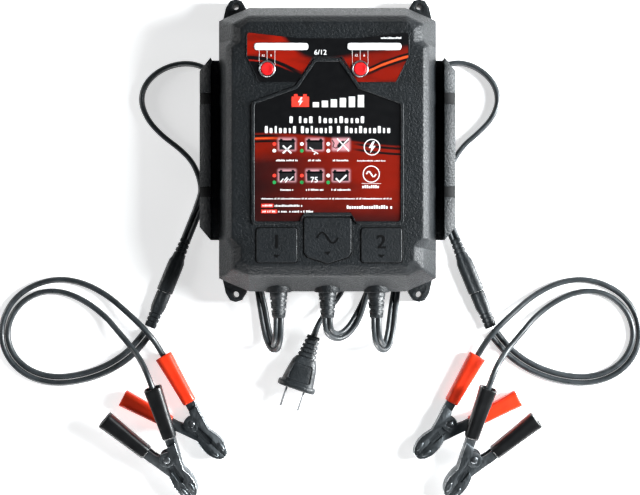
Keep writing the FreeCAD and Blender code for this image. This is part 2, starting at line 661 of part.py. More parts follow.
def coil():
    outer = cylinder("coil_outside", cell("coil_outer"), cell("coil_high") - cell("coil_low"),
                     (0, cell("coil_y"), cell("coil_low")))
    inner = cylinder("coil_inside", cell("coil_inner"), cell("coil_high") - cell("coil_low"),
                     (0, cell("coil_y"), cell("coil_low")))
    named(cut("coil_ring", outer, inner), "cord_ac_coil")
    ties = []
    for side in (-1, 1):
        middle = (cell("coil_outer") + cell("coil_inner")) / 2 * side
        wide = cell("coil_outer") - cell("coil_inner") + 2.4
        tall = cell("coil_high") - cell("coil_low") + 1.2
        outside = box("tie_outside", (wide, 4, tall),
                      (middle - wide / 2, cell("coil_y") - 2, cell("coil_low") - 0.6))
        inside = box("tie_inside", (wide - 1.6, 4, tall - 1.0),
                     (middle - wide / 2 + 0.8, cell("coil_y") - 2, cell("coil_low") - 0.1))
        ties.append(cut("tie", outside, inside))
    group("coil_ties", ties)


def mains_plug():
    place = Placement(PLUG_START, turned(PLUG_HEADING))
    body = new_body("plug_body")
    sections = []
    for name, at, half_y, half_z in (("relief_tip", 0, 4.6, 3.4), ("relief_root", cell("plug_relief"), 6.6, 5.4),
                                     ("shoulder", cell("plug_relief") + 4, 8.9, 7.5),
                                     ("neck", cell("plug_flange_at") - 3, 11.8, 8.2),
                                     ("flange_back", cell("plug_flange_at"), 13.75, 9.3),
                                     ("flange_face", cell("plug_face"), 13.75, 9.3)):
        sections.append(sketch(body, name, "YZ_Plane", [octagon(half_y, half_z, 1.8)], level=at))
    loft(body, "moulding", sections)
    named(body, "plug_body", place)
    blades = []
    for side in (-1, 1):
        body = new_body("blade_%d" % (side + 1))
        y = cell("blade_gap") / 2 * side
        outline = sketch(body, "blade_outline", "XZ_Plane",
                         [[(cell("plug_face"), -3.15), (cell("plug_face") + cell("blade_long") - 2, -3.15),
                           (cell("plug_face") + cell("blade_long"), -1.6),
                           (cell("plug_face") + cell("blade_long"), 1.6),
                           (cell("plug_face") + cell("blade_long") - 2, 3.15), (cell("plug_face"), 3.15)]],
                         [(cell("plug_face") + cell("blade_long") - 4.2, 0, 1.6)], level=-y)
        pad(body, "blade", outline, 1.5, midplane=True)
        body.Placement = place
        blades.append(body)
    group("plug_blades", blades)


def connector(channel):
    """Two-pole in-line connector: the charger's half with two sockets, the clamp lead's half with two pins."""
    place = link_place(channel)
    half_y = cell("link_wide") / 2
    half_z = cell("link_tall") / 2
    body = new_body("connector_%d_charger_half" % channel)
    sections = [sketch(body, name, "YZ_Plane", [octagon(wide, tall, 1.2)], level=at)
                for name, at, wide, tall in (("relief_tip", 0, 3.6, 2.6),
                                             ("relief_root", 15, half_y - 1.2, half_z - 0.6),
                                             ("shoulder", 17, half_y, half_z),
                                             ("mouth", cell("link_joint"), half_y, half_z))]
    loft(body, "moulding", sections)
    bores = sketch(body, "bore_circles", "YZ_Plane", circles=[(y, 0, 1.75) for y in (-2.7, 2.7)],
                   level=cell("link_joint"))
    pocket(body, "sockets", bores, cell("pin_long") + 1)
    named(body, "connector_%d_charger_half" % channel, place)
    body = new_body("connector_%d_clamp_half" % channel)
    start = cell("link_joint") + 0.4
    sections = [sketch(body, name, "YZ_Plane", [octagon(wide, tall, 1.2)], level=at)
                for name, at, wide, tall in (("mouth", start, half_y - 0.6, half_z - 0.3),
                                             ("shoulder", start + 12, half_y - 0.6, half_z - 0.3),
                                             ("relief_root", start + 14, half_y - 1.6, half_z - 0.9),
                                             ("relief_tip", cell("link_long"), 4.4, 2.4))]
    loft(body, "moulding", sections)
    pins = sketch(body, "pin_circles", "YZ_Plane", circles=[(y, 0, 1.35) for y in (-2.7, 2.7)], level=start)
    pad(body, "pins", pins, cell("pin_long")).Reversed = True
    named(body, "connector_%d_clamp_half" % channel, place)


# ---------------------------------------------------------------- clamps

def jaw_outline(inset, opened):
    """Side view of the upper jaw; the inset copy is the hollow, opened towards the other jaw."""
    nose = cell("nose")
    low = -opened if opened else 0.15
    top = [(nose - inset, low), (nose - inset - 0.4, 2.6 - inset / 2), (nose - inset - 3.4, 5.3 - inset),
           (nose - 9.5, 7.2 - inset), (nose - 16, 7.0 - inset), (nose - 21.3, 5.7 - inset),
           (-3 + inset, cell("handle_rise") + 3.2 - inset), (-7, cell("handle_rise") + 4.4 - inset)]
    if opened:
        return top + [(-7, low)]
    return top + [(-7, 5), (0, 2), (9.5, 2.4), (18, 2.4), (20, 0.15)]


def handle_outline(inset):
    """Side view of a handle: a strip along the handle's line, in the clamp's frame."""
    slope = math.tan(math.radians(DIMENSIONS["handle_slope"]))
    far = -42 + inset
    near = -4
    middle_far = cell("handle_rise") - slope * (far + 3)
    middle_near = cell("handle_rise") - slope * (near + 3)
    deep = cell("handle_deep")
    if inset:
        return [(near + 2, middle_near - deep - 2), (near + 2, middle_near + deep - inset),
                (far, middle_far + deep - inset), (far, middle_far - deep - 2)]
    return [(near, middle_near - deep), (near, middle_near + deep), (far, middle_far + deep),
            (far, middle_far - deep)]


def turned_over(points, side):
    return [(x, y * side) for x, y in points]


def jaw(label, side, place):
    """One stamped half of a clamp: side +1 holds the lead, side -1 is the half that opens."""
    body = new_body(label)
    steel = cell("steel")
    wide = cell("jaw_half") * 2
    nested = cell("nest_half") * 2
    fixed = side > 0
    plate = sketch(body, "jaw_side", "XY_Plane", [turned_over(jaw_outline(0, 0), side)])
    pad(body, "jaw_plate", plate, wide if fixed else nested, midplane=True)
    ear_radius = 5.4 if fixed else 4.5
    ear = sketch(body, "ear_side", "XY_Plane", circles=[(0, 0, ear_radius)])
    pad(body, "ear", ear, wide if fixed else nested, midplane=True)
    strap = sketch(body, "handle_side", "XY_Plane", [turned_over(handle_outline(0), side)])
    pad(body, "handle", strap, cell("handle_half") * 2 if fixed else nested, midplane=True)
    if not fixed:
        front = [p for p in jaw_outline(0, 0) if number(p[0]) > 9]
        cheek = sketch(body, "cheek_side", "XY_Plane", [turned_over(front, side)])
        pad(body, "jaw_cheeks", cheek, wide, midplane=True)
    hollow = sketch(body, "jaw_hollow_side", "XY_Plane", [turned_over(jaw_outline(1.2, 6.5), side)])
    pocket(body, "jaw_hollow", hollow, (wide if fixed else nested) - steel * 2, midplane=True)
    channel = sketch(body, "handle_hollow_side", "XY_Plane", [turned_over(handle_outline(1.2), side)])
    pocket(body, "handle_hollow", channel, nested - steel * 2, midplane=True)
    bore = sketch(body, "rivet_circle", "XY_Plane", circles=[(0, 0, cell("rivet") + 0.15)])
    pocket(body, "rivet_hole", bore, wide + 2, midplane=True)
    named(body, label, place)


def grip(label, side, place):
    """Tapered sleeve over a handle, closed at its outer end."""
    body = new_body(label)
    start = cell("grip_from")
    end = start + cell("grip_long")
    sections = [sketch(body, "root_section", "YZ_Plane", [octagon(4.9, 5.0, 1.6)], level=start),
                sketch(body, "end_section", "YZ_Plane", [octagon(6.3, 5.2, 2.2)], level=end)]
    loft(body, "sleeve", sections)
    room = [(-3.75, -4.05), (3.75, -4.05), (3.75, 4.05), (-3.75, 4.05)]
    hole = sketch(body, "handle_room", "YZ_Plane", [room], level=start)
    pocket(body, "handle_slot", hole, cell("grip_long") - 3, reverse=True)
    named(body, label, place.multiply(handle_place(side)))


def spring(label, place):
    """Torsion spring about the rivet with a leg in each handle."""
    coil_base = Vector(0, 0, -2.2)
    coil_tube = Part.makeCylinder(2.35, 4.4, coil_base).cut(Part.makeCylinder(1.7, 4.4, coil_base))
    legs = []
    for side in (-1, 1):
        start = Vector(0, 1.95 * side, 1.2 * side)
        end = Vector(-15, 12.2 * side, 1.2 * side)
        way = end.sub(start)
        legs.append(Part.makeCylinder(0.45, way.Length, start, way))
    made = doc.addObject("Part::Feature", label + "_shape")
    made.Shape = coil_tube.fuse(legs).removeSplitter()
    named(made, label, place)


def rivets(channel):
    solids = []
    for colour in CLAMPS:
        place = clamp_place(colour, channel)
        reach = DIMENSIONS["jaw_half"]
        shank = Part.makeCylinder(DIMENSIONS["rivet"], 2 * reach + 0.2, Vector(0, 0, -reach - 0.1))
        heads = [Part.makeCylinder(2.5, 0.45, Vector(0, 0, z)) for z in (-reach - 0.5, reach + 0.05)]
        whole = shank.fuse(heads)
        whole.Placement = place
        solids.append(whole)
    cord("clamp_rivets_%d" % channel, solids)


def grip_end(colour, channel, back):
    """A point on the axis of the wired grip, this far beyond its outer end."""
    place = clamp_place(colour, channel).multiply(handle_place(1))
    reach = DIMENSIONS["grip_from"] + DIMENSIONS["grip_long"] + back
    point = place.multVec(Vector(reach, 0, 0))
    return (point.x, point.y, point.z)


def clamp_lead(channel):
    half = DIMENSIONS["lead_width"] / 2 + 0.15
    for colour, tail, shift in (("red", RED_TAIL, half), ("black", BLACK_TAIL, -half)):
        route = side_by_side(PAIR, shift) + tail
        if channel == 2:
            route = flipped(route)
        route += [grip_end(colour, channel, CLAMPS[colour]["straight"]), grip_end(colour, channel, 0)]
        wire = tube("lead %d %s" % (channel, colour), route, DIMENSIONS["lead_width"])
        cord("lead_%d_%s" % (channel, colour), [wire])
    connector(channel)
    rivets(channel)
    for colour in CLAMPS:
        place = clamp_place(colour, channel)
        name = "%s_clamp_%d_" % (colour, channel)
        jaw(name + "fixed_jaw", 1, place)
        jaw(name + "moving_jaw", -1, place)
        grip(name + "fixed_grip", 1, place)
        grip(name + "moving_grip", -1, place)
        spring(name + "spring", place)
        axis = place.Rotation.multVec(Vector(0, 0, -1))
        print("%-24s pivot %s axis %s" % (name, [round(v, 3) for v in place.Base], [round(v, 5) for v in axis]))


front_housing()
rear_housing()
housing_gasket()
housing_screws()
labels()
display_windows()
buttons()
electronics()
gland("cord_gland_1", -cell("gland_x"))
gland("cord_gland_ac", 0)
gland("cord_gland_2", cell("gland_x"))
link_end_1 = link_place(1).multVec(Vector(0, 0, 0))
link_end_2 = link_place(2).multVec(Vector(0, 0, 0))
cord("cord_1_run", [tube("cord 1", CORD_1 + [tuple(link_end_1)], DIMENSIONS["twin_tube"])])
cord("cord_2_run", [tube("cord 2", CORD_2 + [tuple(link_end_2)], DIMENSIONS["twin_tube"])])
cord("cord_ac_run", [tube("mains cord in", CORD_AC_IN, DIMENSIONS["twin_tube"]),
                     tube("mains cord out", CORD_AC_OUT + [tuple(PLUG_START)], DIMENSIONS["twin_tube"])])
coil()
mains_plug()
clamp_lead(1)
clamp_lead(2)

# ---------------------------------------------------------------- checks and files

doc.recompute()
faults = [thing.Label for thing in doc.Objects if "Invalid" in thing.State or "Error" in thing.State]
faults += [thing.Label for thing in sub_parts if thing.Shape.isNull() or not thing.Shape.isValid()]
if faults:
    raise SystemExit("not built: " + ", ".join(faults))
for thing in sub_parts:
    thing.Shape.exportStep("parts/%s.step" % thing.Label)
print(len(sub_parts), "sub-parts")
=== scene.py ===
import bpy
import bmesh
import math
from mathutils import Matrix, Vector


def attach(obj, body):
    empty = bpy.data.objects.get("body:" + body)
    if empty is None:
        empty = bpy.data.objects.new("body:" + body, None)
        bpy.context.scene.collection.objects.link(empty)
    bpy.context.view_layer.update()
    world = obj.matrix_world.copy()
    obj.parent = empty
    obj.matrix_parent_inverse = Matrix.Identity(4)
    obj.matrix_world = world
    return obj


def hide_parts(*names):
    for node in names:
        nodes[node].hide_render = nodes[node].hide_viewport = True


# Two-output car battery charger, lying on its back, in the CAD model's own frame.
# Shapes are written in millimetres and turned into the frame's metres with MM. The camera, the lights,
# the exits of the cords and the distances along them are in metres.

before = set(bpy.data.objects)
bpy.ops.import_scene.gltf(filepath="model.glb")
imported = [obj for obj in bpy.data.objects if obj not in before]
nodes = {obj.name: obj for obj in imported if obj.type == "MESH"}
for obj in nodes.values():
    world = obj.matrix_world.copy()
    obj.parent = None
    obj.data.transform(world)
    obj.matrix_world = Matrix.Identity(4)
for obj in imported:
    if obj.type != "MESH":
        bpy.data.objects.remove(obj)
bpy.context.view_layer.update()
scene = bpy.context.scene
MM = 0.001

# ---------------------------------------------------------------- camera

camera_data = bpy.data.cameras.new("camera")
camera_data.sensor_width = 36
camera_data.lens = 103
camera = bpy.data.objects.new("camera", camera_data)
camera.location = (-0.0052, -0.0676, 1.3)
scene.collection.objects.link(camera)
scene.camera = camera
scene.view_settings.view_transform = "Standard"

# ---------------------------------------------------------------- shader nodes


def feed(made, socket, value):
    """Drives a socket from an output, or sets it to a constant."""
    if isinstance(value, bpy.types.NodeSocket):
        made.node_tree.links.new(value, socket)
    else:
        socket.default_value = value


def shader_input(made, name):
    return made.node_tree.nodes["Principled BSDF"].inputs[name]


def new_material(name, colour, roughness, metallic=0.0, coat=0.0):
    """A principled material; constants sit on the shader's own sockets."""
    made = bpy.data.materials.new(name)
    made.use_nodes = True
    for socket, value in (("Base Color", (*colour, 1)), ("Roughness", roughness), ("Metallic", metallic),
                          ("Coat Weight", coat), ("Coat Roughness", 0.12)):
        shader_input(made, socket).default_value = value
    return made


def dull(made, level):
    """Weaker mirror reflection, for deep blacks."""
    shader_input(made, "Specular IOR Level").default_value = level
    return made


def add_node(made, kind, **inputs):
    """A new shader node; an underscore in an input's name stands for a space."""
    node = made.node_tree.nodes.new("ShaderNode" + kind)
    for name, value in inputs.items():
        feed(made, node.inputs[name.replace("_", " ")], value)
    return node


def shared_node(made, kind, **inputs):
    """The material's one node of this kind, made when first asked for."""
    found = made.node_tree.nodes.get(kind)
    if found is None:
        found = add_node(made, kind, **inputs)
        found.name = kind
    return found


def place_texture(made):
    """Object coordinates: every piece's mesh is in the frame's metres, so one scale fits all."""
    return shared_node(made, "TexCoord").outputs["Object"]


def noise(made, scale, detail, stretch=None):
    source = place_texture(made)
    if stretch is not None:
        source = add_node(made, "Mapping", Vector=source, Scale=stretch).outputs["Vector"]
    return add_node(made, "TexNoise", Scale=scale, Detail=detail, Vector=source).outputs["Fac"]


def ramp(made, value, stops):
    """A colour ramp of (position, colour) stops driven by value; a colour may be a grey level."""
    node = add_node(made, "ValToRGB", Fac=value)
    elements = node.color_ramp.elements
    while len(elements) < len(stops):
        elements.new(0.5)
    for element, (position, colour) in zip(elements, stops):
        element.position = position
        element.color = (*colour, 1) if isinstance(colour, tuple) else (colour, colour, colour, 1)
    return node.outputs["Color"]


def vary(made, socket, texture, *stops):
    """Drives one of the shader's sockets by a texture through (position, colour) stops."""
    feed(made, shader_input(made, socket), ramp(made, texture, stops))


def bump(made, height, strength, distance):
    """Adds a height on top of whatever bump the material already has."""
    node = add_node(made, "Bump", Strength=strength, Distance=distance, Height=height)
    normal = shader_input(made, "Normal")
    if normal.is_linked:
        feed(made, node.inputs["Normal"], normal.links[0].from_socket)
    feed(made, normal, node.outputs["Normal"])


def math_node(made, operation, *values):
    """One arithmetic node; each value is an output or a number."""
    node = add_node(made, "Math")
    node.operation = operation
    for socket, value in zip(node.inputs, values):
        feed(made, socket, value)
    return node.outputs[0]


def between(made, value, low, high):
    """0 below low, 1 above high, smooth in between."""
    node = add_node(made, "MapRange", From_Min=low, From_Max=high, Value=value)
    node.interpolation_type = "SMOOTHSTEP"
    return node.outputs["Result"]


def mix(made, share, first, second):
    """Colour mix: first where share is 0, second where it is 1; each a colour or an output."""
    node = add_node(made, "Mix")
    node.data_type = "RGBA"
    feed(made, node.inputs["Factor"], share)
    for socket, value in ((node.inputs[6], first), (node.inputs[7], second)):
        feed(made, socket, (*value, 1) if isinstance(value, tuple) else value)
    return node.outputs[2]


# ---------------------------------------------------------------- materials


def textured_plastic(name, dark, light, roughness, grain_scale, grain):
    """Moulded plastic with a spark-eroded surface: patchy colour, patchy gloss, fine pits."""
    made = new_material(name, dark, roughness)
    vary(made, "Base Color", noise(made, 60, 4), (0.35, dark), (0.7, light))
    vary(made, "Roughness", noise(made, 900, 2), (0.3, roughness - 0.1), (0.7, roughness + 0.12))
    bump(made, noise(made, grain_scale * 0.45, 1), grain, 0.0006)
    bump(made, noise(made, grain_scale, 2), grain, 0.0004)
    return made


def cord_vinyl():
    """Extruded vinyl: softly mottled, with a dragged surface."""
    made = new_material("cord_vinyl", (0.022, 0.026, 0.029), 0.36)
    vary(made, "Base Color", noise(made, 120, 3), (0.3, (0.016, 0.019, 0.021)), (0.75, (0.036, 0.042, 0.046)))
    vary(made, "Roughness", noise(made, 260, 3), (0.3, 0.27), (0.7, 0.45))
    bump(made, noise(made, 700, 2), 0.12, 0.0003)
    return made


def dipped_vinyl(name, deep, bright, coat):
    """Glossy dipped sleeve: slow ripples along it and a slightly uneven colour."""
    made = new_material(name, deep, 0.3, coat=coat)
    vary(made, "Base Color", noise(made, 90, 2), (0.25, deep), (0.75, bright))
    vary(made, "Roughness", noise(made, 120, 1), (0.3, 0.3), (0.7, 0.38))
    bump(made, noise(made, 110, 1), 0.12, 0.0006)
    bump(made, noise(made, 1400, 1), 0.05, 0.0002)
    return made


def steel(name, dark, light, roughness, stretch):
    """Rolled sheet: streaks along the rolling direction, small scratches and uneven plating."""
    made = new_material(name, dark, roughness, metallic=1.0)
    vary(made, "Base Color", noise(made, 45, 5), (0.3, dark), (0.72, light))
    streak = noise(made, 300, 3, stretch)
    vary(made, "Roughness", streak, (0.3, roughness - 0.1), (0.7, roughness + 0.15))
    bump(made, streak, 0.15, 0.0003)
    return made


def simple(name, dark, light, roughness, scale=200.0):
    """Small parts: two close colours and a little unevenness."""
    made = new_material(name, dark, roughness)
    vary(made, "Base Color", noise(made, scale, 3), (0.35, dark), (0.65, light))
    bump(made, noise(made, scale * 4, 2), 0.1, 0.0002)
    return made


MATERIALS = {
    "housing": dull(textured_plastic("housing_plastic", (0.0045, 0.0058, 0.0068), (0.0078, 0.0098, 0.0115),
                                     0.45, 1500, 0.6), 0.3),
    "shadow": dull(simple("shadow_black", (0.0012, 0.0012, 0.0014), (0.0022, 0.0022, 0.0024), 0.6), 0.12),
    "pads": dull(textured_plastic("pad_plastic", (0.0055, 0.007, 0.0082), (0.009, 0.011, 0.013),
                                  0.45, 1500, 0.35), 0.42),
    "gasket": simple("gasket_rubber", (0.008, 0.008, 0.009), (0.014, 0.014, 0.015), 0.7),
    "cord": cord_vinyl(),
    "moulding": textured_plastic("cord_moulding", (0.0095, 0.0115, 0.013), (0.017, 0.02, 0.0225), 0.42, 900, 0.3),
    "grip_red": dipped_vinyl("grip_red_vinyl", (0.7, 0.03, 0.006), (0.78, 0.042, 0.009), 0.2),
    "grip_black": dipped_vinyl("grip_black_vinyl", (0.0028, 0.003, 0.0033), (0.0048, 0.005, 0.0055), 0.0),
    "jaw": steel("jaw_steel", (0.1, 0.112, 0.12), (0.2, 0.217, 0.228), 0.38, (6, 1, 1)),
    # Light steel for the beads along the jaw edges: a painted highlight.
    "edge_highlight": steel("edge_highlight_steel", (0.45, 0.47, 0.48), (0.68, 0.7, 0.71), 0.3, (6, 1, 1)),
    "rivet": steel("rivet_steel", (0.12, 0.13, 0.138), (0.24, 0.25, 0.26), 0.32, (1, 1, 1)),
    "spring": steel("spring_steel", (0.16, 0.16, 0.17), (0.34, 0.34, 0.35), 0.35, (1, 4, 1)),
    "blade": steel("blade_steel", (0.6, 0.61, 0.62), (0.78, 0.79, 0.8), 0.42, (1, 5, 1)),
    "chrome": steel("bezel_chrome", (0.3, 0.31, 0.32), (0.45, 0.46, 0.47), 0.34, (2, 2, 1)),
    "button": simple("button_plastic", (0.55, 0.008, 0.012), (0.75, 0.02, 0.02), 0.28),
    "screw": steel("screw_zinc", (0.42, 0.43, 0.45), (0.62, 0.63, 0.65), 0.35, (1, 1, 1)),
    "window": simple("window_white", (0.86, 0.86, 0.86), (0.93, 0.93, 0.93), 0.25),
    "white": simple("print_white", (0.8, 0.8, 0.8), (0.9, 0.9, 0.9), 0.4),
    "black": simple("print_black", (0.006, 0.006, 0.007), (0.011, 0.011, 0.012), 0.35),
    "print_red": simple("print_red", (0.85, 0.035, 0.02), (0.95, 0.06, 0.035), 0.35),
    "print_green": simple("print_green", (0.01, 0.22, 0.05), (0.02, 0.32, 0.08), 0.35),
    "circuit": simple("circuit_mask", (0.006, 0.07, 0.02), (0.012, 0.12, 0.035), 0.3, 90),
    "case_black": simple("case_black", (0.012, 0.012, 0.013), (0.022, 0.022, 0.023), 0.45),
    "lamp": simple("lamp_clear", (0.35, 0.55, 0.35), (0.5, 0.7, 0.5), 0.15),
    "tape": simple("winding_tape", (0.45, 0.3, 0.03), (0.6, 0.42, 0.06), 0.4),
    "can": simple("capacitor_sleeve", (0.01, 0.014, 0.05), (0.02, 0.025, 0.08), 0.3),
    "alloy": steel("sink_aluminium", (0.5, 0.51, 0.52), (0.68, 0.69, 0.7), 0.4, (1, 8, 1)),
    "glass": simple("fuse_glass", (0.6, 0.66, 0.66), (0.72, 0.78, 0.78), 0.08),
}


def paint(obj, key):
    """One material for the whole piece."""
    obj.data.materials.clear()
    obj.data.materials.append(MATERIALS[key])


# ---------------------------------------------------------------- mesh helpers


def new_object(name, data):
    made = bpy.data.objects.new(name, data)
    scene.collection.objects.link(made)
    return made


def finish_piece(obj, key, body, replaced=()):
    """Material, the body it rides on and the CAD nodes it stands for."""
    paint(obj, key)
    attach(obj, body)
    if replaced:
        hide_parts(*replaced)
    return obj


def evaluated_mesh(obj):
    """The object's final mesh, with its modifiers or curve settings in effect."""
    return bpy.data.meshes.new_from_object(obj.evaluated_get(bpy.context.evaluated_depsgraph_get()))


def worked(data, *steps):
    """Runs bmesh steps on a mesh; each is called with the bmesh."""
    work = bmesh.new()
    work.from_mesh(data)
    for step in steps:
        step(work)
    work.to_mesh(data)
    work.free()
    return data


def welded(work):
    bmesh.ops.remove_doubles(work, verts=work.verts, dist=1e-6)


def flattened(work):
    bmesh.ops.dissolve_limit(work, angle_limit=math.radians(0.6), verts=work.verts, edges=work.edges)


def turned_outward(work):
    bmesh.ops.recalc_face_normals(work, faces=work.faces)


def smooth(obj, angle):
    """Smooth shading with the edges sharper than angle kept crisp."""
    obj.data.shade_smooth()
    obj.data.set_sharp_from_angle(angle=math.radians(angle))
    return obj


def mesh_object(name, verts, faces):
    data = bpy.data.meshes.new(name)
    data.from_pydata([tuple(v) for v in verts], [], faces)
    return new_object(name, worked(data, turned_outward))


def band_faces(low, high, count):
    """Four-sided faces between two loops of count points."""
    return [(low + i, low + (i + 1) % count, high + (i + 1) % count, high + i) for i in range(count)]


def skin(name, rings, closed=False):
    """A surface through rings of equal length; the ends are capped, or joined when closed."""
    count = len(rings[0])
    verts = [point for ring in rings for point in ring]
    faces = []
    for level in range(len(rings) if closed else len(rings) - 1):
        faces += band_faces(level * count, (level + 1) % len(rings) * count, count)
    for start in () if closed else (0, (len(rings) - 1) * count):
        middle = len(verts)
        verts.append(sum((Vector(verts[start + i]) for i in range(count)), Vector()) / count)
        faces += [(start + i, start + (i + 1) % count, middle) for i in range(count)]
    return mesh_object(name, verts, faces)


def slab(name, outline, low, high):
    """A flat piece: an outline of (x, y), from height low to height high."""
    verts = [Vector((x, y, z)) * MM for z in (low, high) for x, y in outline]
    count = len(outline)
    faces = [tuple(range(count)), tuple(range(count, 2 * count))] + band_faces(0, count, count)
    return mesh_object(name, verts, faces)


def applied(obj):
    """Bakes the object's modifiers into its mesh."""
    final = evaluated_mesh(obj)
    obj.modifiers.clear()
    old = obj.data
    obj.data = final
    bpy.data.meshes.remove(old)
    return obj


def bevelled(obj, width, segments, angle):
    modifier = obj.modifiers.new("bevel", "BEVEL")
    modifier.width = width
    modifier.segments = segments
    modifier.limit_method = "ANGLE"
    modifier.angle_limit = math.radians(angle)
    return applied(obj)


def carved(obj, tools):
    """Cuts the tools out of the object, and removes them."""
    for tool in tools:
        modifier = obj.modifiers.new("cut", "BOOLEAN")
        modifier.operation = "DIFFERENCE"
        modifier.solver = "EXACT"
        modifier.object = tool
    applied(obj)
    for tool in tools:
        bpy.data.objects.remove(tool)
    return obj


def joined(name, parts):
    """Several pieces of one material and one body as one object."""
    verts = []
    faces = []
    smooth_faces = []
    for part in parts:
        start = len(verts)
        verts += [part.matrix_world @ v.co for v in part.data.vertices]
        for face in part.data.polygons:
            faces.append(tuple(start + i for i in face.vertices))
            smooth_faces.append(face.use_smooth)
        bpy.data.objects.remove(part)
    made = mesh_object(name, verts, faces)
    for face, is_smooth in zip(made.data.polygons, smooth_faces):
        face.use_smooth = is_smooth
    return made


def softened(node, name, width, angle=35):
    """A copy of a CAD node's shape with its edges rounded."""
    data = worked(nodes[node].data.copy(), welded, flattened)
    return smooth(bevelled(new_object(name, data), width * MM, 2, angle), 40)


# ---------------------------------------------------------------- outlines and sections


def corner_arc(before, corner, after, reach, steps):
    """A rounded corner that starts and ends at reach from it, as far as its sides allow."""
    corner = Vector(corner)
    before = Vector(before) - corner
    after = Vector(after) - corner
    reach = min(reach, before.length * 0.45, after.length * 0.45)
    start = corner + before.normalized() * reach
    end = corner + after.normalized() * reach
    shares = [step / steps for step in range(steps + 1)]
    return [start.lerp(corner, share).lerp(corner.lerp(end, share), share) for share in shares]


def rounded(outline, radius, steps=4):
    """The closed outline with each corner replaced by an arc."""
    result = []
    for i, corner in enumerate(outline):
        before = outline[i - 1]
        after = outline[(i + 1) % len(outline)]
        angle = (Vector(before) - Vector(corner)).angle(Vector(after) - Vector(corner))
        result += [tuple(p) for p in corner_arc(before, corner, after, radius / math.tan(angle / 2), steps)]
    return result


def rectangle(x, y, wide, tall):
    return [(x + side * wide / 2, y + level * tall / 2) for side, level in ((-1, -1), (1, -1), (1, 1), (-1, 1))]


def around(count):
    """The angles of a full turn in equal steps."""
    return [2 * math.pi * k / count for k in range(count)]


def circle(x, y, radius, count=20):
    return [(x + radius * math.cos(angle), y + radius * math.sin(angle)) for angle in around(count)]


def in_frame(place, x, y, z):
    """A point in millimetres of a placed piece, in the frame's metres."""
    return place @ (Vector((x, y, z)) * MM)


def turned_about(axis, degrees):
    return Matrix.Rotation(math.radians(degrees), 4, axis)


def shifted(x, y, z):
    return Matrix.Translation(Vector((x, y, z)) * MM)


def lofted(name, sections, place):
    """Sections are (x, ring of (y, z)); they are set along the piece's own X axis."""
    return skin(name, [[in_frame(place, x, y, z) for y, z in ring] for x, ring in sections])


def turned_piece(name, profile, place, count):
    """A piece of revolution about its own X axis from a profile of (x, radius)."""
    return lofted(name, [(x, circle(0, 0, radius, count)) for x, radius in profile], place)


def oval(half_y, half_z, power, count=56):
    """A cross-section between an ellipse (power 2) and a rounded rectangle (power 5 and up)."""
    def part(value, half):
        return half * math.copysign(abs(value) ** (2 / power), value)
    return [(part(math.cos(angle), half_y), part(math.sin(angle), half_z)) for angle in around(count)]


def eight(half_wide, radius, count=28):
    """The section of a twin cord: two circles side by side that meet in a groove."""
    middle = half_wide - radius
    end = math.pi - math.acos(min(middle / radius, 0.999))
    half = count // 2
    angles = [-end + 2 * end * (i + 0.5) / half for i in range(half)]
    return [(side * (middle + radius * math.cos(angle)), side * radius * math.sin(angle))
            for side in (1, -1) for angle in angles]


# ---------------------------------------------------------------- cords

FLAT_WIDE = 7.4 * MM
FLAT_HIGH = 3.7 * MM
LEAD = 4.2 * MM
LEAD_APART = 2.25 * MM
SPLINE_STEP = 0.8 * MM
MIRROR_X = -4.9
CHANNELS = (1, 2)
COLOURS = ("red", "black")


def metres(points):
    return [tuple(value * MM for value in point) for point in points]


CORD_1 = metres([(-34, -116.5, 26), (-34, -125, 26), (-34.8, -133.5, 22.5), (-36.5, -138.5, 15.5),
                 (-39.5, -137, 8), (-42.5, -129, 4.6), (-45.5, -112, 4), (-49, -93, 4), (-58, -68, 4),
                 (-63.5, -38, 4), (-65, -4, 4), (-66.5, 24, 4), (-73, 46, 4), (-85, 59.5, 4), (-100, 63.5, 4),
                 (-116, 59.5, 4), (-128, 50, 4), (-132.5, 37, 4), (-127.5, 23, 4), (-117, 11.5, 4),
                 (-104, 2, 4), (-94.5, -8, 4), (-89, -23, 4), (-90, -37, 4), (-95.3, -50, 4.1),
                 (-100, -61.6, 4.1)])
CORD_2 = metres([(34, -116.5, 26), (34, -125, 26), (35.3, -133.5, 22.5), (38.5, -138.5, 15.5), (42, -137, 8),
                 (44.5, -129, 4.6), (46.5, -112, 4), (49, -93, 4), (56, -68, 4), (62, -38, 4), (64.5, -4, 4),
                 (66, 24, 4), (70, 46, 4), (79, 59.5, 4), (92, 64, 4), (106, 60, 4), (117.5, 50, 4),
                 (121.5, 37, 4), (117, 24, 4), (107, 13.5, 4), (96, 4.5, 4), (88, -8, 4), (82, -23, 4),
                 (80.5, -37, 4), (85.5, -50, 4.1), (90.2, -61.6, 4.1)])
CORD_AC_IN = metres([(0, -116.5, 26), (0, -123, 26), (2.5, -128.5, 20.5), (8.5, -130.5, 12),
                     (15.5, -126.2, 6.5), (22.2, -115.5, 4.2), (27.5, -101, 4), (33.5, -82, 4), (39.5, -60, 4),
                     (43.5, -37, 4), (45, -14, 4.3)])
CORD_AC_OUT = metres([(-19, -29, 12), (-4, -37.5, 11), (8, -48, 8), (15.5, -61.5, 4.8), (17, -77, 4),
                      (13.5, -92, 4), (7.5, -103.5, 5), (-0.5, -112.5, 7.5), (-6.7, -121.6, 9.8),
                      (-9.6, -130, 9.8)])
PAIR = metres([(-127, -127.5, 2.6), (-134.5, -137.5, 2.2), (-145, -147, 2.2), (-159, -155, 2.2),
               (-176, -160.3, 2.2), (-194, -162, 2.2), (-211, -157.5, 2.2), (-223.5, -147, 2.2),
               (-229.5, -132, 2.2)])
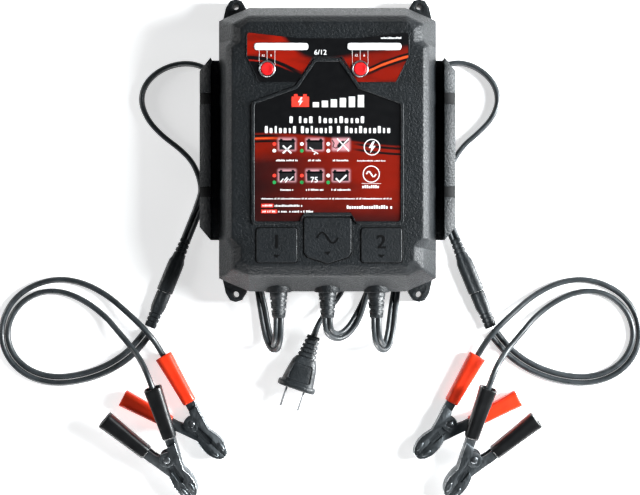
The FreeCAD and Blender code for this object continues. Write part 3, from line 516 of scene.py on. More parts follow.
RED_TAIL = metres([(-229.5, -116, 2.2), (-220.5, -102, 2.2), (-206, -93, 2.2), (-189, -89.5, 2.2),
                   (-171.5, -93, 2.2), (-155, -102, 3), (-142, -113, 6.4), (-132.5, -121.5, 9.2),
                   (-125, -129.5, 9.4)])
BLACK_TAIL = metres([(-224.5, -116.5, 2.2), (-215.5, -105, 2.2), (-202, -98.5, 2.2), (-187, -98.8, 2.2),
                     (-171.5, -105.5, 2.2), (-157.5, -116, 3.6), (-147.5, -127, 8), (-140, -135.5, 10.2),
                     (-133.5, -143, 14)])
COIL_CENTRE = (0, 8)
COIL_FIRST = -4
COIL_LAST = 6 * 360 - 115
COIL_STEP = 24


def smooth_step(value):
    """0 below 0, 1 above 1, smooth in between."""
    share = min(max(value, 0), 1)
    return share * share * (3 - 2 * share)


def coil_points():
    """Six turns: three spiral inwards on the table, three spiral outwards on top of them."""
    points = []
    steps = round((COIL_LAST - COIL_FIRST) / COIL_STEP)
    for step in range(steps + 1):
        angle = COIL_FIRST + (COIL_LAST - COIL_FIRST) * step / steps
        turn = (angle - COIL_FIRST) / 360
        radius = 44.8 - 2.95 * turn if turn < 3 else 35.95 + 2.8 * (turn - 3)
        points.append((COIL_CENTRE[0] + radius * math.cos(math.radians(angle)),
                       COIL_CENTRE[1] + radius * math.sin(math.radians(angle)),
                       4.6 + 7.6 * smooth_step((turn - 2.6) / 0.8)))
    return metres(points)


def centre_line(name, points):
    """One open NURBS spline through given points, without any thickness."""
    data = bpy.data.curves.new(name, "CURVE")
    data.dimensions = "3D"
    data.resolution_u = 6
    spline = data.splines.new("NURBS")
    spline.points.add(len(points) - 1)
    for point, place in zip(spline.points, points):
        point.co = (*place, 1)
    spline.order_u = 3
    spline.use_endpoint_u = True
    return new_object(name, data)


def thick(line, radius, resolution):
    """Gives a centre line its round section and closed ends."""
    line.data.bevel_depth = radius
    line.data.bevel_resolution = resolution
    line.data.use_fill_caps = True
    return line


def read_line(points):
    """Points read from the spline itself, for a mesh that follows it."""
    line = centre_line("line", points)
    data = evaluated_mesh(line)
    found = [v.co.copy() for v in data.vertices]
    bpy.data.objects.remove(line)
    bpy.data.meshes.remove(data)
    kept = [found[0]]
    for point in found[1:]:
        if (point - kept[-1]).length > SPLINE_STEP:
            kept.append(point)
    return kept


def keyed(keys, distance):
    """A value between (distance, value) keys."""
    if distance <= keys[0][0]:
        return keys[0][1]
    for (low, first), (high, second) in zip(keys, keys[1:]):
        if distance <= high:
            return first + (second - first) * smooth_step((distance - low) / (high - low))
    return keys[-1][1]


def travelled(points):
    lengths = [0.0]
    for first, second in zip(points, points[1:]):
        lengths.append(lengths[-1] + (second - first).length)
    return lengths


def twin_cord(name, points, upright_keys, replaced):
    """Flat twin cord. upright_keys: (distance, share), 0 lying flat and 1 standing on its edge."""
    path = read_line(points)
    lengths = travelled(path)
    section = eight(FLAT_WIDE / 2, FLAT_HIGH / 2)
    rings = []
    last_across = Vector((1, 0, 0))
    for i, point in enumerate(path):
        along = (path[min(i + 1, len(path) - 1)] - path[max(i - 1, 0)]).normalized()
        across = along.cross(Vector((0, 0, 1)))
        if across.length < 0.35:
            across = last_across
        across = (across - along * across.dot(along)).normalized()
        last_across = across
        over = across.cross(along)
        lean = math.radians(90) * keyed(upright_keys, lengths[i])
        wide = across * math.cos(lean) + over * math.sin(lean)
        high = along.cross(wide)
        rings.append([point + wide * y + high * z for y, z in section])
    made = smooth(skin(name, rings), 50)
    return finish_piece(made, "cord", "root", replaced), path, lengths[-1]


def beside(points, shift):
    """The same route, shifted sideways on the table."""
    result = []
    for i, point in enumerate(points):
        ahead = Vector(points[min(i + 1, len(points) - 1)]) - Vector(points[max(i - 1, 0)])
        side = Vector((-ahead.y, ahead.x, 0)).normalized() * shift
        result.append((point[0] + side.x, point[1] + side.y, point[2]))
    return result


# ---------------------------------------------------------------- places of the clamps and connectors

CLAMPS = {
    "red": {"pivot": (-96, -192, 5.8), "heading": -44, "pitch": 0, "roll": 0, "straight": 8},
    "black": {"pivot": (-112.5, -215.5, 13), "heading": -55.5, "pitch": 9.3, "roll": 8, "straight": 13},
}
SLOPE = 16.45
GRIP_FROM = 8.5
GRIP_LONG = 38


def flip_x(x, channel):
    """Channel 2 is channel 1 mirrored left to right."""
    return 2 * MIRROR_X - x if channel == 2 else x


def flip_angle(angle, channel):
    return 180 - angle if channel == 2 else angle


def clamp_place(colour, channel):
    """The clamp's own frame: origin on the rivet, +X to the nose, the wired handle on +Y."""
    known = CLAMPS[colour]
    x, y, z = known["pivot"]
    turn = (turned_about("Z", flip_angle(known["heading"], channel)) @ turned_about("Y", known["pitch"])
            @ turned_about("X", flip_angle(known["roll"], channel)))
    return shifted(flip_x(x, channel), y, z) @ turn


def handle_place(colour, channel, side):
    """The handle's frame: +X runs away from the jaws."""
    turn = turned_about("Z", side * (180 - SLOPE))
    return clamp_place(colour, channel) @ shifted(-3, side * 7.5, 0) @ turn


def link_place(channel):
    """The in-line connector's frame: +X from the charger to the clamps."""
    return shifted(flip_x(-100, channel), -61.6, 4.1) @ turned_about("Z", flip_angle(-112.3, channel))


def lead_points(colour, channel):
    """The route of one conductor, from the connector to the middle of its grip."""
    shift, tail = (LEAD_APART, RED_TAIL) if colour == "red" else (-LEAD_APART, BLACK_TAIL)
    points = [(flip_x(x / MM, channel) * MM, y, z) for x, y, z in beside(PAIR, shift) + tail]
    handle = handle_place(colour, channel, 1)
    return points + [tuple(in_frame(handle, GRIP_FROM + GRIP_LONG + back, 0, 0))
                     for back in (CLAMPS[colour]["straight"], -6)]


cord_1, path_1, length_1 = twin_cord(
    "cord_dc_1", CORD_1, [(0.045, 0), (0.105, 1), (0.375, 1), (0.395, 0)], ["cord_1_run"])
cord_2, path_2, length_2 = twin_cord(
    "cord_dc_2", CORD_2, [(0.045, 0), (0.105, 1), (0.365, 1), (0.385, 0)], ["cord_2_run"])
cord_ac, path_ac, length_ac = twin_cord(
    "cord_mains", CORD_AC_IN + coil_points() + CORD_AC_OUT, [(0.03, 0), (0.07, 1), (1.68, 1), (1.74, 0)],
    ["cord_ac_run", "cord_ac_coil"])

# ---------------------------------------------------------------- leads and clamps

SLEEVE = [(8.5, 4.1, 4.2), (8.8, 4.7, 4.8), (9.8, 4.95, 5.0), (16, 5.1, 5.0), (26, 5.4, 5.05), (36, 5.85, 5.15),
          (44, 6.2, 5.2), (45.9, 6.3, 5.2), (46.4, 6.15, 5.05), (46.5, 5.8, 4.7), (46.2, 5.3, 4.2),
          (44, 5.1, 4.05), (39, 4.9, 3.95)]
BACK_EDGE = [(11.9, 5.9), (14, 6.4), (17, 7.0), (20, 7.25), (23.5, 7.2), (26.6, 6.5), (29.6, 5.3), (31.4, 4.0),
             (32.6, 2.6), (32.95, 0.4)]
HANDLE_EDGE = [(-7.0, 11.75), (-3.2, 10.6), (2, 9.0), (7, 7.35)]
DOME = [(5.1, 1.0), (5.35, 0.97), (5.6, 0.8), (5.72, 0.5), (5.76, 0.2)]
JAW_WEB = [(9.8, 0.2), (19.9, 0.2), (19.9, 2.9), (9.8, 2.9)]
ROOT_WEB = [(4.6, -2.2), (9.9, -2.2), (9.9, 2.9), (4.6, 2.9)]
RIVET_HALF = [(5.2, 1.5), (5.22, 2.5), (5.3, 2.4), (5.5, 1.9), (5.66, 1.2), (5.72, 0.5)]
SPRING_LEG = [(-1.0, -2.3, -1.2), (-7, -6.8, -1.2), (-15, -12.2, -1.2)]
SPRING_WIRE = 0.45 * MM


def grooved(half_y, half_z, power, depth, width):
    """An oval section with a shallow groove along the middle of its top and of its bottom."""
    return [(y, z * (1 - depth * math.exp(-(y / width) ** 2))) for y, z in oval(half_y, half_z, power)]


def sleeve(name, place):
    """Dipped sleeve over a handle: snug at the steel, flared and hollow at the outer end."""
    return smooth(lofted(name, [(x, grooved(y, z, 3.4, 0.05, 0.7)) for x, y, z in SLEEVE], place), 60)


def spring_coil():
    """One leg in the wired handle, three turns about the rivet, then out to the other handle."""
    points = [(-15, 12.2, 1.2), (-7, 6.8, 1.2), (-1.2, 2.4, 1.2)]
    for step in range(41):
        angle = math.radians(100 - 27 * step)
        points.append((2.0 * math.cos(angle), 2.0 * math.sin(angle), 1.2 - 2.4 * step / 40))
    return points + [(-1.2, -2.4, -1.2)]


def bead(points, radius, place, closed=False):
    """A thin round bead along points of the given frame."""
    rings = []
    last = len(points) - 1
    for i, point in enumerate(points):
        before = points[i - 1] if closed or i else point
        after = points[(i + 1) % len(points)] if closed or i < last else point
        ahead = Vector(after) - Vector(before)
        out = Vector((-ahead.y, ahead.x, 0)).normalized()
        rings.append([in_frame(place, *(Vector(point) + out * y + Vector((0, 0, z))))
                      for y, z in circle(0, 0, radius, 8)])
    return smooth(skin("bead", rings, closed=closed), 80)


def edge_highlight_bead(name, place, side):
    """A bright bead along a jaw's back and round its nose: a painted highlight along its sheared edge."""
    edge = (HANDLE_EDGE if side > 0 else []) + BACK_EDGE
    parts = [bead([(x, side * (y - 0.15), level) for x, y in edge], 0.24, place) for level in (5.12, -5.12)]
    return smooth(joined(name, parts), 80)


def dome_layers(turn):
    """Layers of (height, outline) of the dome pressed into a cheek of the nose."""
    layers = []
    for height, size in DOME:
        around_it = [(size * turn * math.cos(angle), size * math.sin(angle)) for angle in around(24)]
        layers.append((turn * height, [(26.0 + 3.7 * x, 3.3 + 1.5 * y - 0.45 * x) for x, y in around_it]))
    return layers


def web_layers(outline, turn, inner):
    return [(turn * height, outline[::turn]) for height in (inner, 4.05)]


def jaw_cheeks(name, place, side):
    """Pressed dome in each cheek of the nose, and the inner cheeks that close the jaw behind its teeth."""
    def layered(layers):
        return skin("layered", [[in_frame(place, x, y * side, height) for x, y in outline]
                                for height, outline in layers])
    parts = []
    for turn in (1, -1):
        parts += [smooth(layered(dome_layers(turn)), 50), layered(web_layers(JAW_WEB, turn, 3.2))]
        if side > 0:
            parts.append(layered(web_layers(ROOT_WEB, turn, 3.75)))
    return smooth(joined(name, parts), 50)


def clamp(channel, colour):
    """The pieces of one clamp, without its conductor and its rivet."""
    prefix = f"{colour}_clamp_{channel}"
    place = clamp_place(colour, channel)
    bodies = {"fixed": f"clamp_lead_{channel}", "moving": f"{prefix}_jaw"}
    pieces = []
    for side, part in ((1, "fixed"), (-1, "moving")):
        half = f"{prefix}_{part}"
        cover = sleeve(f"{half}_sleeve", handle_place(colour, channel, side))
        stamping = softened(f"{half}_jaw", f"{half}_stamping", 0.3)
        for piece, key, slot, replaced in (
                (cover, f"grip_{colour}", f"grip_{colour}", [f"{half}_grip"]),
                (stamping, "jaw", "jaw_steel", [f"{half}_jaw"]),
                # The bright bead along the edge is a painted highlight.
                (edge_highlight_bead(f"{half}_edge", place, side), "edge_highlight", "jaw_steel", ()),
                (jaw_cheeks(f"{half}_cheeks", place, side), "jaw", "jaw_steel", ())):
            pieces.append(finish_piece(piece, key, bodies[part], replaced))
    for part, name, points, replaced in (("fixed", "wire", spring_coil(), [f"{prefix}_spring"]),
                                         ("moving", "leg", SPRING_LEG, ())):
        line = centre_line(f"{prefix}_spring_{name}", [tuple(in_frame(place, *point)) for point in points])
        pieces.append(finish_piece(thick(line, SPRING_WIRE, 3), "spring", bodies[part], replaced))
    return pieces


def rivet(place):
    profile = [(-x, radius) for x, radius in reversed(RIVET_HALF)] + RIVET_HALF
    return smooth(turned_piece("rivet", profile, place @ turned_about("Y", -90), 24), 50)


clamp_pieces = {}
for channel in CHANNELS:
    body = f"clamp_lead_{channel}"
    for colour in COLOURS:
        route = lead_points(colour, channel)
        lead = thick(centre_line(f"lead_{channel}_{colour}_wire", route), LEAD / 2, 6)
        replaced = [f"lead_{channel}_{colour}"]
        finish_piece(lead, "cord", body, replaced)
        travelled(read_line(route))[-1]
        clamp_pieces[channel, colour] = clamp(channel, colour)
    rivets = joined(f"clamp_rivets_{channel}_domed", [rivet(clamp_place(colour, channel)) for colour in COLOURS])
    finish_piece(smooth(rivets, 50), "rivet", body, [f"clamp_rivets_{channel}"])
    clamp_pieces[channel, "red"].append(rivets)

# ---------------------------------------------------------------- in-line connectors

# Profiles are (x, half width, half height).
SOCKET_HALF = [(0, 3.3, 2.3), (0.5, 3.7, 2.7), (12, 4.35, 3.1), (14.5, 4.6, 3.25), (17.5, 5.6, 3.75),
               (22, 5.75, 3.8), (39.4, 5.75, 3.8), (40.1, 5.65, 3.7), (40.4, 5.3, 3.4)]
PIN_HALF = [(40.8, 4.7, 3.0), (41.1, 5.0, 3.35), (42, 5.15, 3.5), (52, 5.15, 3.5), (55, 4.5, 3.1),
            (66.8, 4.1, 2.3), (67.3, 3.7, 2.0)]
PIN_SIDES = (-2.7, 2.7)
RAMP = 0.25


def ribbed(profile, notches, depth):
    """Adds ring-shaped notches, each given as (x, width), to a profile."""
    def at(x):
        for low, high in zip(profile, profile[1:]):
            if x <= high[0]:
                share = (x - low[0]) / (high[0] - low[0])
                return [low[k] + (high[k] - low[k]) * share for k in (1, 2)]
        return list(profile[-1][1:])
    result = [tuple(p) for p in profile if not any(a - 0.2 <= p[0] <= a + w + 0.2 for a, w in notches)]
    for start, width in notches:
        end = start + width
        for x, cut in ((start, 0), (start + RAMP, depth), (end - RAMP, depth), (end, 0)):
            half_y, half_z = at(x)
            result.append((x, half_y - cut, half_z - cut))
    return sorted(result)


def connector(channel):
    """The charger's half with its sockets, and the clamp lead's half with its pins."""
    place = link_place(channel)
    lead_body = f"clamp_lead_{channel}"

    def moulding(part, profile, starts, width, depth):
        sections = [(x, grooved(y, z, 3.2, 0.16, 1.0))
                    for x, y, z in ribbed(profile, [(start, width) for start in starts], depth)]
        return smooth(lofted(f"connector_{channel}_{part}_moulding", sections, place), 40)

    def on_both_sides(name, profile):
        return [turned_piece(name, profile, place @ shifted(0, y, 0), 20) for y in PIN_SIDES]

    socket_half = moulding("socket", SOCKET_HALF, (2.6, 6.2, 9.8), 1.3, 0.75)
    smooth(carved(socket_half, on_both_sides("hole", [(29, 1.5), (41, 1.5)])), 40)
    finish_piece(socket_half, "moulding", "root", [f"connector_{channel}_charger_half"])
    pin_half = moulding("pin", PIN_HALF, (56.2, 59.4, 62.6), 1.2, 0.7)
    finish_piece(pin_half, "moulding", lead_body, [f"connector_{channel}_clamp_half"])
    pins = on_both_sides("pin", [(30, 0.5), (30.4, 1.0), (31.2, 1.25), (41.4, 1.25)])
    pins = smooth(joined(f"connector_{channel}_pins", pins), 40)
    finish_piece(pins, "blade", lead_body)
    return [socket_half, pin_half, pins]


connector_pieces = {channel: connector(channel) for channel in CHANNELS}

# ---------------------------------------------------------------- strain reliefs


def gland(label, x):
    """A collar and a tapering sleeve with staggered slots."""
    place = shifted(x, 0, 26) @ turned_about("Z", -90)
    levels = [(94.6, 4.8, 0), (98, 4.8, 0), (98.02, 5.6, 0), (98.3, 6.1, 0), (99, 6.25, 0), (101, 6.25, 0),
              (101.7, 6.1, 0), (102, 5.7, 0), (102.3, 5.75, 0), (103.2, 5.95, 0)]
    for row in range(4):
        start = 103.9 + 3 * row
        radius = 5.9 - 0.3 * row
        levels += [(start, radius, 0), (start + 0.2, radius - 0.95, row + 1),
                   (start + 1.2, radius - 1.0, row + 1), (start + 1.4, radius - 0.15, 0)]
    levels += [(116.0, 4.55, 0), (116.4, 4.3, 0), (116.5, 3.9, 0)]
    sections = []
    for along, radius, slotted in levels:
        ring = []
        for angle in around(64):
            bridge = slotted and math.cos(2 * (angle + math.pi / 2 * (slotted % 2))) > 0.82
            reach = radius + (0.8 if bridge else 0)
            ring.append((reach * math.cos(angle), reach * math.sin(angle)))
        sections.append((along, ring))
    made = smooth(lofted(f"{label}_sleeve", sections, place), 35)
    return finish_piece(made, "moulding", "root", [label])


glands = {label: gland(label, x)
          for label, x in (("cord_gland_1", -34), ("cord_gland_ac", 0), ("cord_gland_2", 34))}

# ---------------------------------------------------------------- mains plug

PLUG = [(0, 4.2, 3.0), (0.5, 4.6, 3.4), (13.5, 6.5, 5.2), (16.5, 7.1, 6.1), (19.5, 9.0, 7.5), (24, 10.0, 7.8),
        (30, 11.1, 8.0), (34.6, 11.7, 8.15), (35.6, 12.0, 8.3)]
PLUG_NOTCHES = [(2.2, 1.4), (5.4, 1.4), (8.6, 1.4), (11.8, 1.4), (15.0, 1.3)]
FLANGE = [(35.2, 0.9), (35.5, 0.3), (36.1, 0), (38.4, 0), (39.0, 0.3), (39.3, 0.9)]
PANEL = [(20.8, -6.8), (33, -8.6), (33, 8.6), (20.8, 6.8)]


def mains_plug():
    """The moulded body with its flange and two beaded panels, and the blades."""
    place = shifted(-9.6, -130, 9.8) @ turned_about("Z", -109)
    grip = [(x, oval(y, z, 3.6)) for x, y, z in ribbed(PLUG, PLUG_NOTCHES, 1.0)]
    flange = [(x, oval(13.75 - inset, 9.3 - inset, 2.9)) for x, inset in FLANGE]
    parts = [smooth(lofted(name, sections, place), 40) for name, sections in (("grip", grip), ("flange", flange))]
    for level in (-1, 1):
        edge = [(x, y, level * (7.5 + (x - 20.8) * 0.035)) for x, y in rounded(PANEL, 2.0, 5)]
        parts.append(bead(edge, 0.35, place, closed=True))
    made = smooth(joined("plug_body_moulding", parts), 40)
    finish_piece(made, "moulding", "root", ["plug_body"])
    blades = softened("plug_blades", "plug_blades_plated", 0.25)
    return [made, finish_piece(blades, "blade", "root", ["plug_blades"])]


plug_pieces = mains_plug()
ties = softened("coil_ties", "coil_ties_moulded", 0.3)
finish_piece(ties, "case_black", "root", ["coil_ties"])

# ---------------------------------------------------------------- casing


def mirrored(points):
    return points + [(-x, y) for x, y in reversed(points)]


def side_outline(corner, upper, side_up, side_low, waist_x, side_x, lower):
    """Right-hand side of a casing section, from the bottom corner to the top corner."""
    return [(corner, lower[0]), (waist_x, lower[1]), (waist_x, side_low[0]), (side_x, side_low[1]),
            (side_x, side_up[0]), (waist_x, side_up[1]), (waist_x, upper[0]), (corner, upper[1])]


RIM = mirrored(side_outline(54, (89, 98), (70, 74), (-70, -64), 75, 75, (-98, -89)))
BROW = mirrored(side_outline(53.5, (84.5, 90), (69.5, 73), (-68, -62), 65, 69, (-87.5, -82.5)))
FACE = mirrored(side_outline(54, (80.5, 85), (68, 71), (-67, -61), 58.6, 65, (-79.5, -75.5)))
STATUS = [(-18, -50), (-16, -44), (16, -44), (18, -50), (49.5, -50), (49.5, 29.6), (20.5, 40), (8, 58.3),
          (-8, 58.3), (-20.5, 40), (-49.5, 29.6), (-49.5, -50)]
RIDGE = [(-19.5, -52), (-17.4, -46), (17.4, -46), (19.5, -52), (51.5, -52), (51.5, 31), (21.9, 41.7), (9.1, 60.3),
         (-9.1, 60.3), (-21.9, 41.7), (-51.5, 31), (-51.5, -52)]
CONTROL = mirrored([(9.3, 61.1), (20.3, 44.5), (46, 44.5), (54.5, 61.5), (54.5, 78), (20, 74)])
BUTTONS = (("1", -41), ("2", 22))
BUTTON_Y = 53.3
PAD_X = (-34.5, 36.5)
MIDDLE_PAD = [(-13.5, -74), (0, -78.4), (13.5, -74), (16, -71), (16, -47.5), (-16, -47.5), (-16, -71)]
PADS = [(rectangle(x, -66, 27.6, 23.2), 2.2) for x in PAD_X] + [(MIDDLE_PAD, 1.6)]
RIM_Z = 34.6
FACE_BASE = 59.9
GLAND_ARCH = [(-91.6, 9), (-98.0, 9), (-98.4, 8.8), (-98.6, 8.3)]


def eased(path, reaches, steps):
    """An open path with its inner corners rounded, each by its own reach."""
    result = [Vector(path[0])]
    for before, corner, after, reach in zip(path, path[1:], path[2:], reaches):
        result += corner_arc(before, corner, after, reach, steps)
    return result + [Vector(path[-1])]


def front_shell():
    """Closed shell: in over the face, down inside the wall, round the rim and up the outside."""
    def ring(outline, inset, z, radius):
        moved = [(x - math.copysign(inset, x), y - math.copysign(inset, y)) for x, y in outline]
        return [(x, y, z) for x, y in rounded(moved, radius, 3)]
    inner = [ring(FACE, 2.4, 57.6, 2.0), ring(BROW, 2.4, 54.8, 2.0), ring(RIM, 2.4, RIM_Z, 2.0)]
    outer = [ring(RIM, 0, RIM_Z, 3.0), ring(BROW, 0, 56, 3.0),
             ring(FACE, 0, 60, 2.4), ring(FACE, 3.0, 60.02, 2.4)]
    paths = [[Vector(point) for point in inside] + eased(outside, [2.2, 1.2], 5)
             for inside, outside in zip(zip(*inner), zip(*outer))]
    return smooth(skin("front_shell", [[point * MM for point in ring] for ring in zip(*paths)]), 38)


def frame_ridge(name, outer, inner, base, height, radius, inner_radius, ease):
    """A raised border between two outlines with the same number of corners, its edges eased."""
    rings = []
    for a, b in zip(rounded(outer, radius), rounded(inner, inner_radius)):
        a = Vector(a)
        b = Vector(b)
        step = (b - a).normalized() * ease
        top = base + height
        rings.append([Vector((place.x, place.y, z)) * MM for place, z in (
            (a, base), (a, top - ease), (a + step, top), (b - step, top), (b, top - ease), (b, base))])
    return smooth(skin(name, rings, closed=True), 50)


def centre_of(outline):
    return sum((Vector(point) for point in outline), Vector((0, 0))) / len(outline)


def raised_pad(outline, radius):
    """A raised plate with a rounded outline and an eased top edge."""
    ease = 0.4
    top = FACE_BASE + 0.9
    outline = rounded(outline, radius, 5)
    middle = centre_of(outline)
    rings = []
    for inset, z in ((0, FACE_BASE), (0, top - ease), (ease * 0.3, top - ease * 0.3), (ease, top)):
        ring = []
        for point in outline:
            inward = [math.copysign(min(inset, abs(c - p)), c - p) for c, p in zip(middle, point)]
            ring.append(Vector((point[0] + inward[0], point[1] + inward[1], z)) * MM)
        rings.append(ring)
    return smooth(skin("pad", rings), 50)


def gland_arch(x):
    """Half-round boss over a cord's gland."""
    return smooth(skin("gland_arch", [
        [Vector((x + radius * math.cos(math.pi * k / 20), y, RIM_Z + radius * math.sin(math.pi * k / 20))) * MM
         for k in range(21)] for y, radius in GLAND_ARCH]), 40)


def in_wrap_notch(x, y, z):
    """Inside a notch of a side cord wrap; all in millimetres."""
    return abs(x) > 80.2 and z > 33.5 and (31.2 < y < 38.8 or -32.8 < y < -25.7)


around_control = [(x + math.copysign(0.8, x), y + (0.8 if y > 60 else -0.8)) for x, y in CONTROL]
front = [front_shell(), frame_ridge("ridge", RIDGE, STATUS, FACE_BASE, 1.3, 3.0, 2.4, 0.35),
         frame_ridge("control_ridge", around_control, CONTROL, FACE_BASE, 0.55, 2.6, 2.2, 0.2)]
front = smooth(joined("front_cover", front + [gland_arch(x) for x in (-34, 0, 34)]), 30)
finish_piece(front, "housing", "root", ["front_housing"])

rear = softened("rear_housing", "rear_case", 0.5, 30)
for vertex in rear.data.vertices:
    reach = abs(vertex.co.x) - 81.5 * MM
    if reach > 0 and vertex.co.z > 39 * MM:
        vertex.co.z -= 0.62 * reach
rear.data.update()
finish_piece(rear, "housing", "root", ["rear_housing"])
rear.data.materials.append(MATERIALS["shadow"])
for face in rear.data.polygons:
    if in_wrap_notch(*(face.center / MM)):
        face.material_index = 1

pads = smooth(joined("channel_pads", [raised_pad(outline, radius) for outline, radius in PADS]), 15)
finish_piece(pads, "pads", "root")

# ---------------------------------------------------------------- printed films

FILM_BLACK = (0.0035, 0.0035, 0.004)
FILM_RED = (0.27, 0.008, 0.003)
FILM_DEEP = (0.09, 0.0045, 0.002)
FILM_HOT = (0.75, 0.08, 0.016)
ICON_COLUMNS = (-27.5, -8.7, 9.0)
ICON_ROWS = (2.2, -18.9)


def axis_mm(made, axis):
    """One object coordinate in millimetres."""
    split = shared_node(made, "SeparateXYZ", Vector=place_texture(made))
    return math_node(made, "MULTIPLY", split.outputs[axis], 1000)


def curve_over(made, u, half, low, high, stops):
    """A smooth line over the film: stops of (x, y) in mm, x from -half to half, y from low to high."""
    share = math_node(made, "MULTIPLY_ADD", u, 0.5 / half, 0.5)
    line = ramp(made, share, [((x + half) / (2 * half), (y - low) / (high - low)) for x, y in stops])
    line.node.color_ramp.interpolation = "B_SPLINE"
    return math_node(made, "MULTIPLY_ADD", line, high - low, low)


def above(made, v, line, soft):
    """1 above the line, 0 below it."""
    return between(made, math_node(made, "SUBTRACT", v, line), -soft, soft)


def times(made, *values):
    result = values[0]
    for value in values[1:]:
        result = math_node(made, "MULTIPLY", result, value)
    return result


def inverse(made, value):
    return math_node(made, "SUBTRACT", 1.0, value)


def band(made, v, line, half_wide, soft):
    """1 inside a stripe about a line."""
    away = math_node(made, "ABSOLUTE", math_node(made, "SUBTRACT", v, line))
    return inverse(made, between(made, away, half_wide - soft, half_wide + soft))


def nearest(made, value, centres):
    """Distance to the nearest of a few values."""
    best = None
    for centre in centres:
        away = math_node(made, "ABSOLUTE", math_node(made, "SUBTRACT", value, centre))
        best = away if best is None else math_node(made, "MINIMUM", best, away)
    return best


def outside(made, value, centres, half):
    """How far a value lies outside the intervals of the given half width about the centres."""
    return math_node(made, "MAXIMUM", math_node(made, "SUBTRACT", nearest(made, value, centres), half), 0.0)


def film(name, colour_at):
    """A printed film; colour_at gives its colour from the place on it in millimetres."""
    made = dull(new_material(name, FILM_BLACK, 0.32), 0.3)
    colour = colour_at(made, axis_mm(made, 0), axis_mm(made, 1))
    feed(made, shader_input(made, "Base Color"), colour)
    bump(made, noise(made, 900, 2), 0.05, 0.0002)
    vary(made, "Roughness", noise(made, 200, 2), (0.3, 0.28), (0.7, 0.36))
    return made


def control_colour(made, u, v):
    """A red sweep on black, crossed by dark and hot lines."""
    def sweep(*stops):
        return curve_over(made, u, 56, 36, 84, stops)
    upper = sweep((-56, 83), (-38, 80), (-29, 75), (-21, 64), (-10, 59), (4, 59.5), (20, 63), (34, 65.5),
                  (46, 67), (56, 68.5))
    lower = sweep((-56, 62), (-40, 61), (-29, 56.5), (-18, 49.5), (-6, 45.5), (8, 42), (30, 40), (56, 40))
    line = sweep((-56, 61.6), (-42, 60.8), (-30, 57), (-18, 50.4), (-6, 46), (8, 44.5), (22, 47.5), (36, 53.5),
                 (56, 61.5))
    red = times(made, above(made, v, lower, 0.6), inverse(made, above(made, v, upper, 2.5)))
    body = mix(made, between(made, u, -54, 40), (0.3, 0.0085, 0.002), (0.2, 0.007, 0.002))
    body = mix(made, between(made, noise(made, 40, 2, (1, 3, 1)), 0.35, 0.75), body, FILM_DEEP)
    colour = mix(made, red, FILM_BLACK, body)
    right = between(made, u, 12, 34)
    ends = math_node(made, "MAXIMUM", right, inverse(made, between(made, u, -24, -12)))
    hot = times(made, band(made, v, math_node(made, "ADD", line, 1.9), 0.75, 0.5), right, red)
    colour = mix(made, hot, colour, FILM_HOT)
    upper_dark = band(made, v, math_node(made, "ADD", line, 3.6), 0.75, 0.3)
    colour = mix(made, times(made, upper_dark, between(made, u, 14, 26)), colour, FILM_BLACK)
    colour = mix(made, times(made, band(made, v, line, 0.8, 0.3), ends), colour, FILM_BLACK)
    thin = band(made, v, math_node(made, "SUBTRACT", line, 2.2), 0.5, 0.3)
    return mix(made, times(made, thin, inverse(made, between(made, u, -34, -22))), colour, FILM_RED)


def status_colour(made, u, v):
    """Red that fades to black at the left, three lines along its top, and a pale halo at each icon."""
    top = curve_over(made, u, 50, -10, 20, [(-50, 9.4), (-35, 10.2), (-15, 8.6), (8, 6), (28, 2.5), (50, 0.5)])
    red = inverse(made, above(made, v, top, 0.9))
    strength = math_node(made, "MULTIPLY", between(made, u, -52, 26), between(made, v, -52, -34))
    strength = math_node(made, "MAXIMUM", strength, between(made, v, -12, -2))
    strength = math_node(made, "MULTIPLY_ADD", strength, 0.86, 0.14)
    patches = between(made, noise(made, 26, 2, (1, 2.5, 1)), 0.35, 0.75)
    body = mix(made, patches, (0.19, 0.0075, 0.002), (0.11, 0.0055, 0.002))
    colour = mix(made, times(made, red, strength), FILM_BLACK, body)
    dark_ends = math_node(made, "MAXIMUM", inverse(made, between(made, u, -40, -26)), between(made, u, 14, 24))
    hot_end = inverse(made, between(made, u, -44, -28))
    for shift, half_wide, ends, tone in ((-1.6, 0.8, dark_ends, FILM_BLACK), (-5.4, 0.75, dark_ends, FILM_BLACK),
                                         (-3.4, 0.55, hot_end, FILM_HOT)):
        stripe = band(made, v, math_node(made, "ADD", top, shift), half_wide, 0.3)
        colour = mix(made, times(made, stripe, ends), colour, tone)
    away_u = outside(made, u, ICON_COLUMNS, 5.0)
    away_v = outside(made, v, ICON_ROWS, 3.2)
    squares = math_node(made, "ADD", times(made, away_u, away_u), times(made, away_v, away_v))
    away = math_node(made, "SQRT", squares)
    halo = inverse(made, between(made, away, 0.0, 3.0))
    return mix(made, math_node(made, "MULTIPLY", times(made, halo, halo), 0.85), colour, (0.6, 0.3, 0.33))


MATERIALS["control_film"] = film("control_film", control_colour)
MATERIALS["status_film"] = film("status_film", status_colour)

# ---------------------------------------------------------------- what keeps its CAD shape

KEPT = {
    "housing_gasket": "gasket", "housing_screws": "screw", "circuit_board": "circuit",
    "tact_switches": "case_black", "indicator_leds": "lamp", "power_transformers": "tape",
    "filter_capacitors": "can", "heat_sinks": "alloy", "power_transistors": "case_black",
    "mains_fuse": "glass", "control_label": "control_film", "status_label": "status_film",
}
for node, key in KEPT.items():
    paint(nodes[node], key)

# ---------------------------------------------------------------- print on the films

FILM_TOP = 60.4
PRINT_HIGH = 0.06
OVER_PRINT = (FILM_TOP + PRINT_HIGH, 0.04)
PAD_PRINT = (60.75, 0.25)
DOT = 1.25


def prints(name, outlines, key, base=FILM_TOP, height=PRINT_HIGH):
    """Many flat shapes of one ink; each outline is in millimetres."""
    parts = [slab("shape", outline, base, base + height) for outline in outlines]
    return finish_piece(joined(name, parts), key, "root")


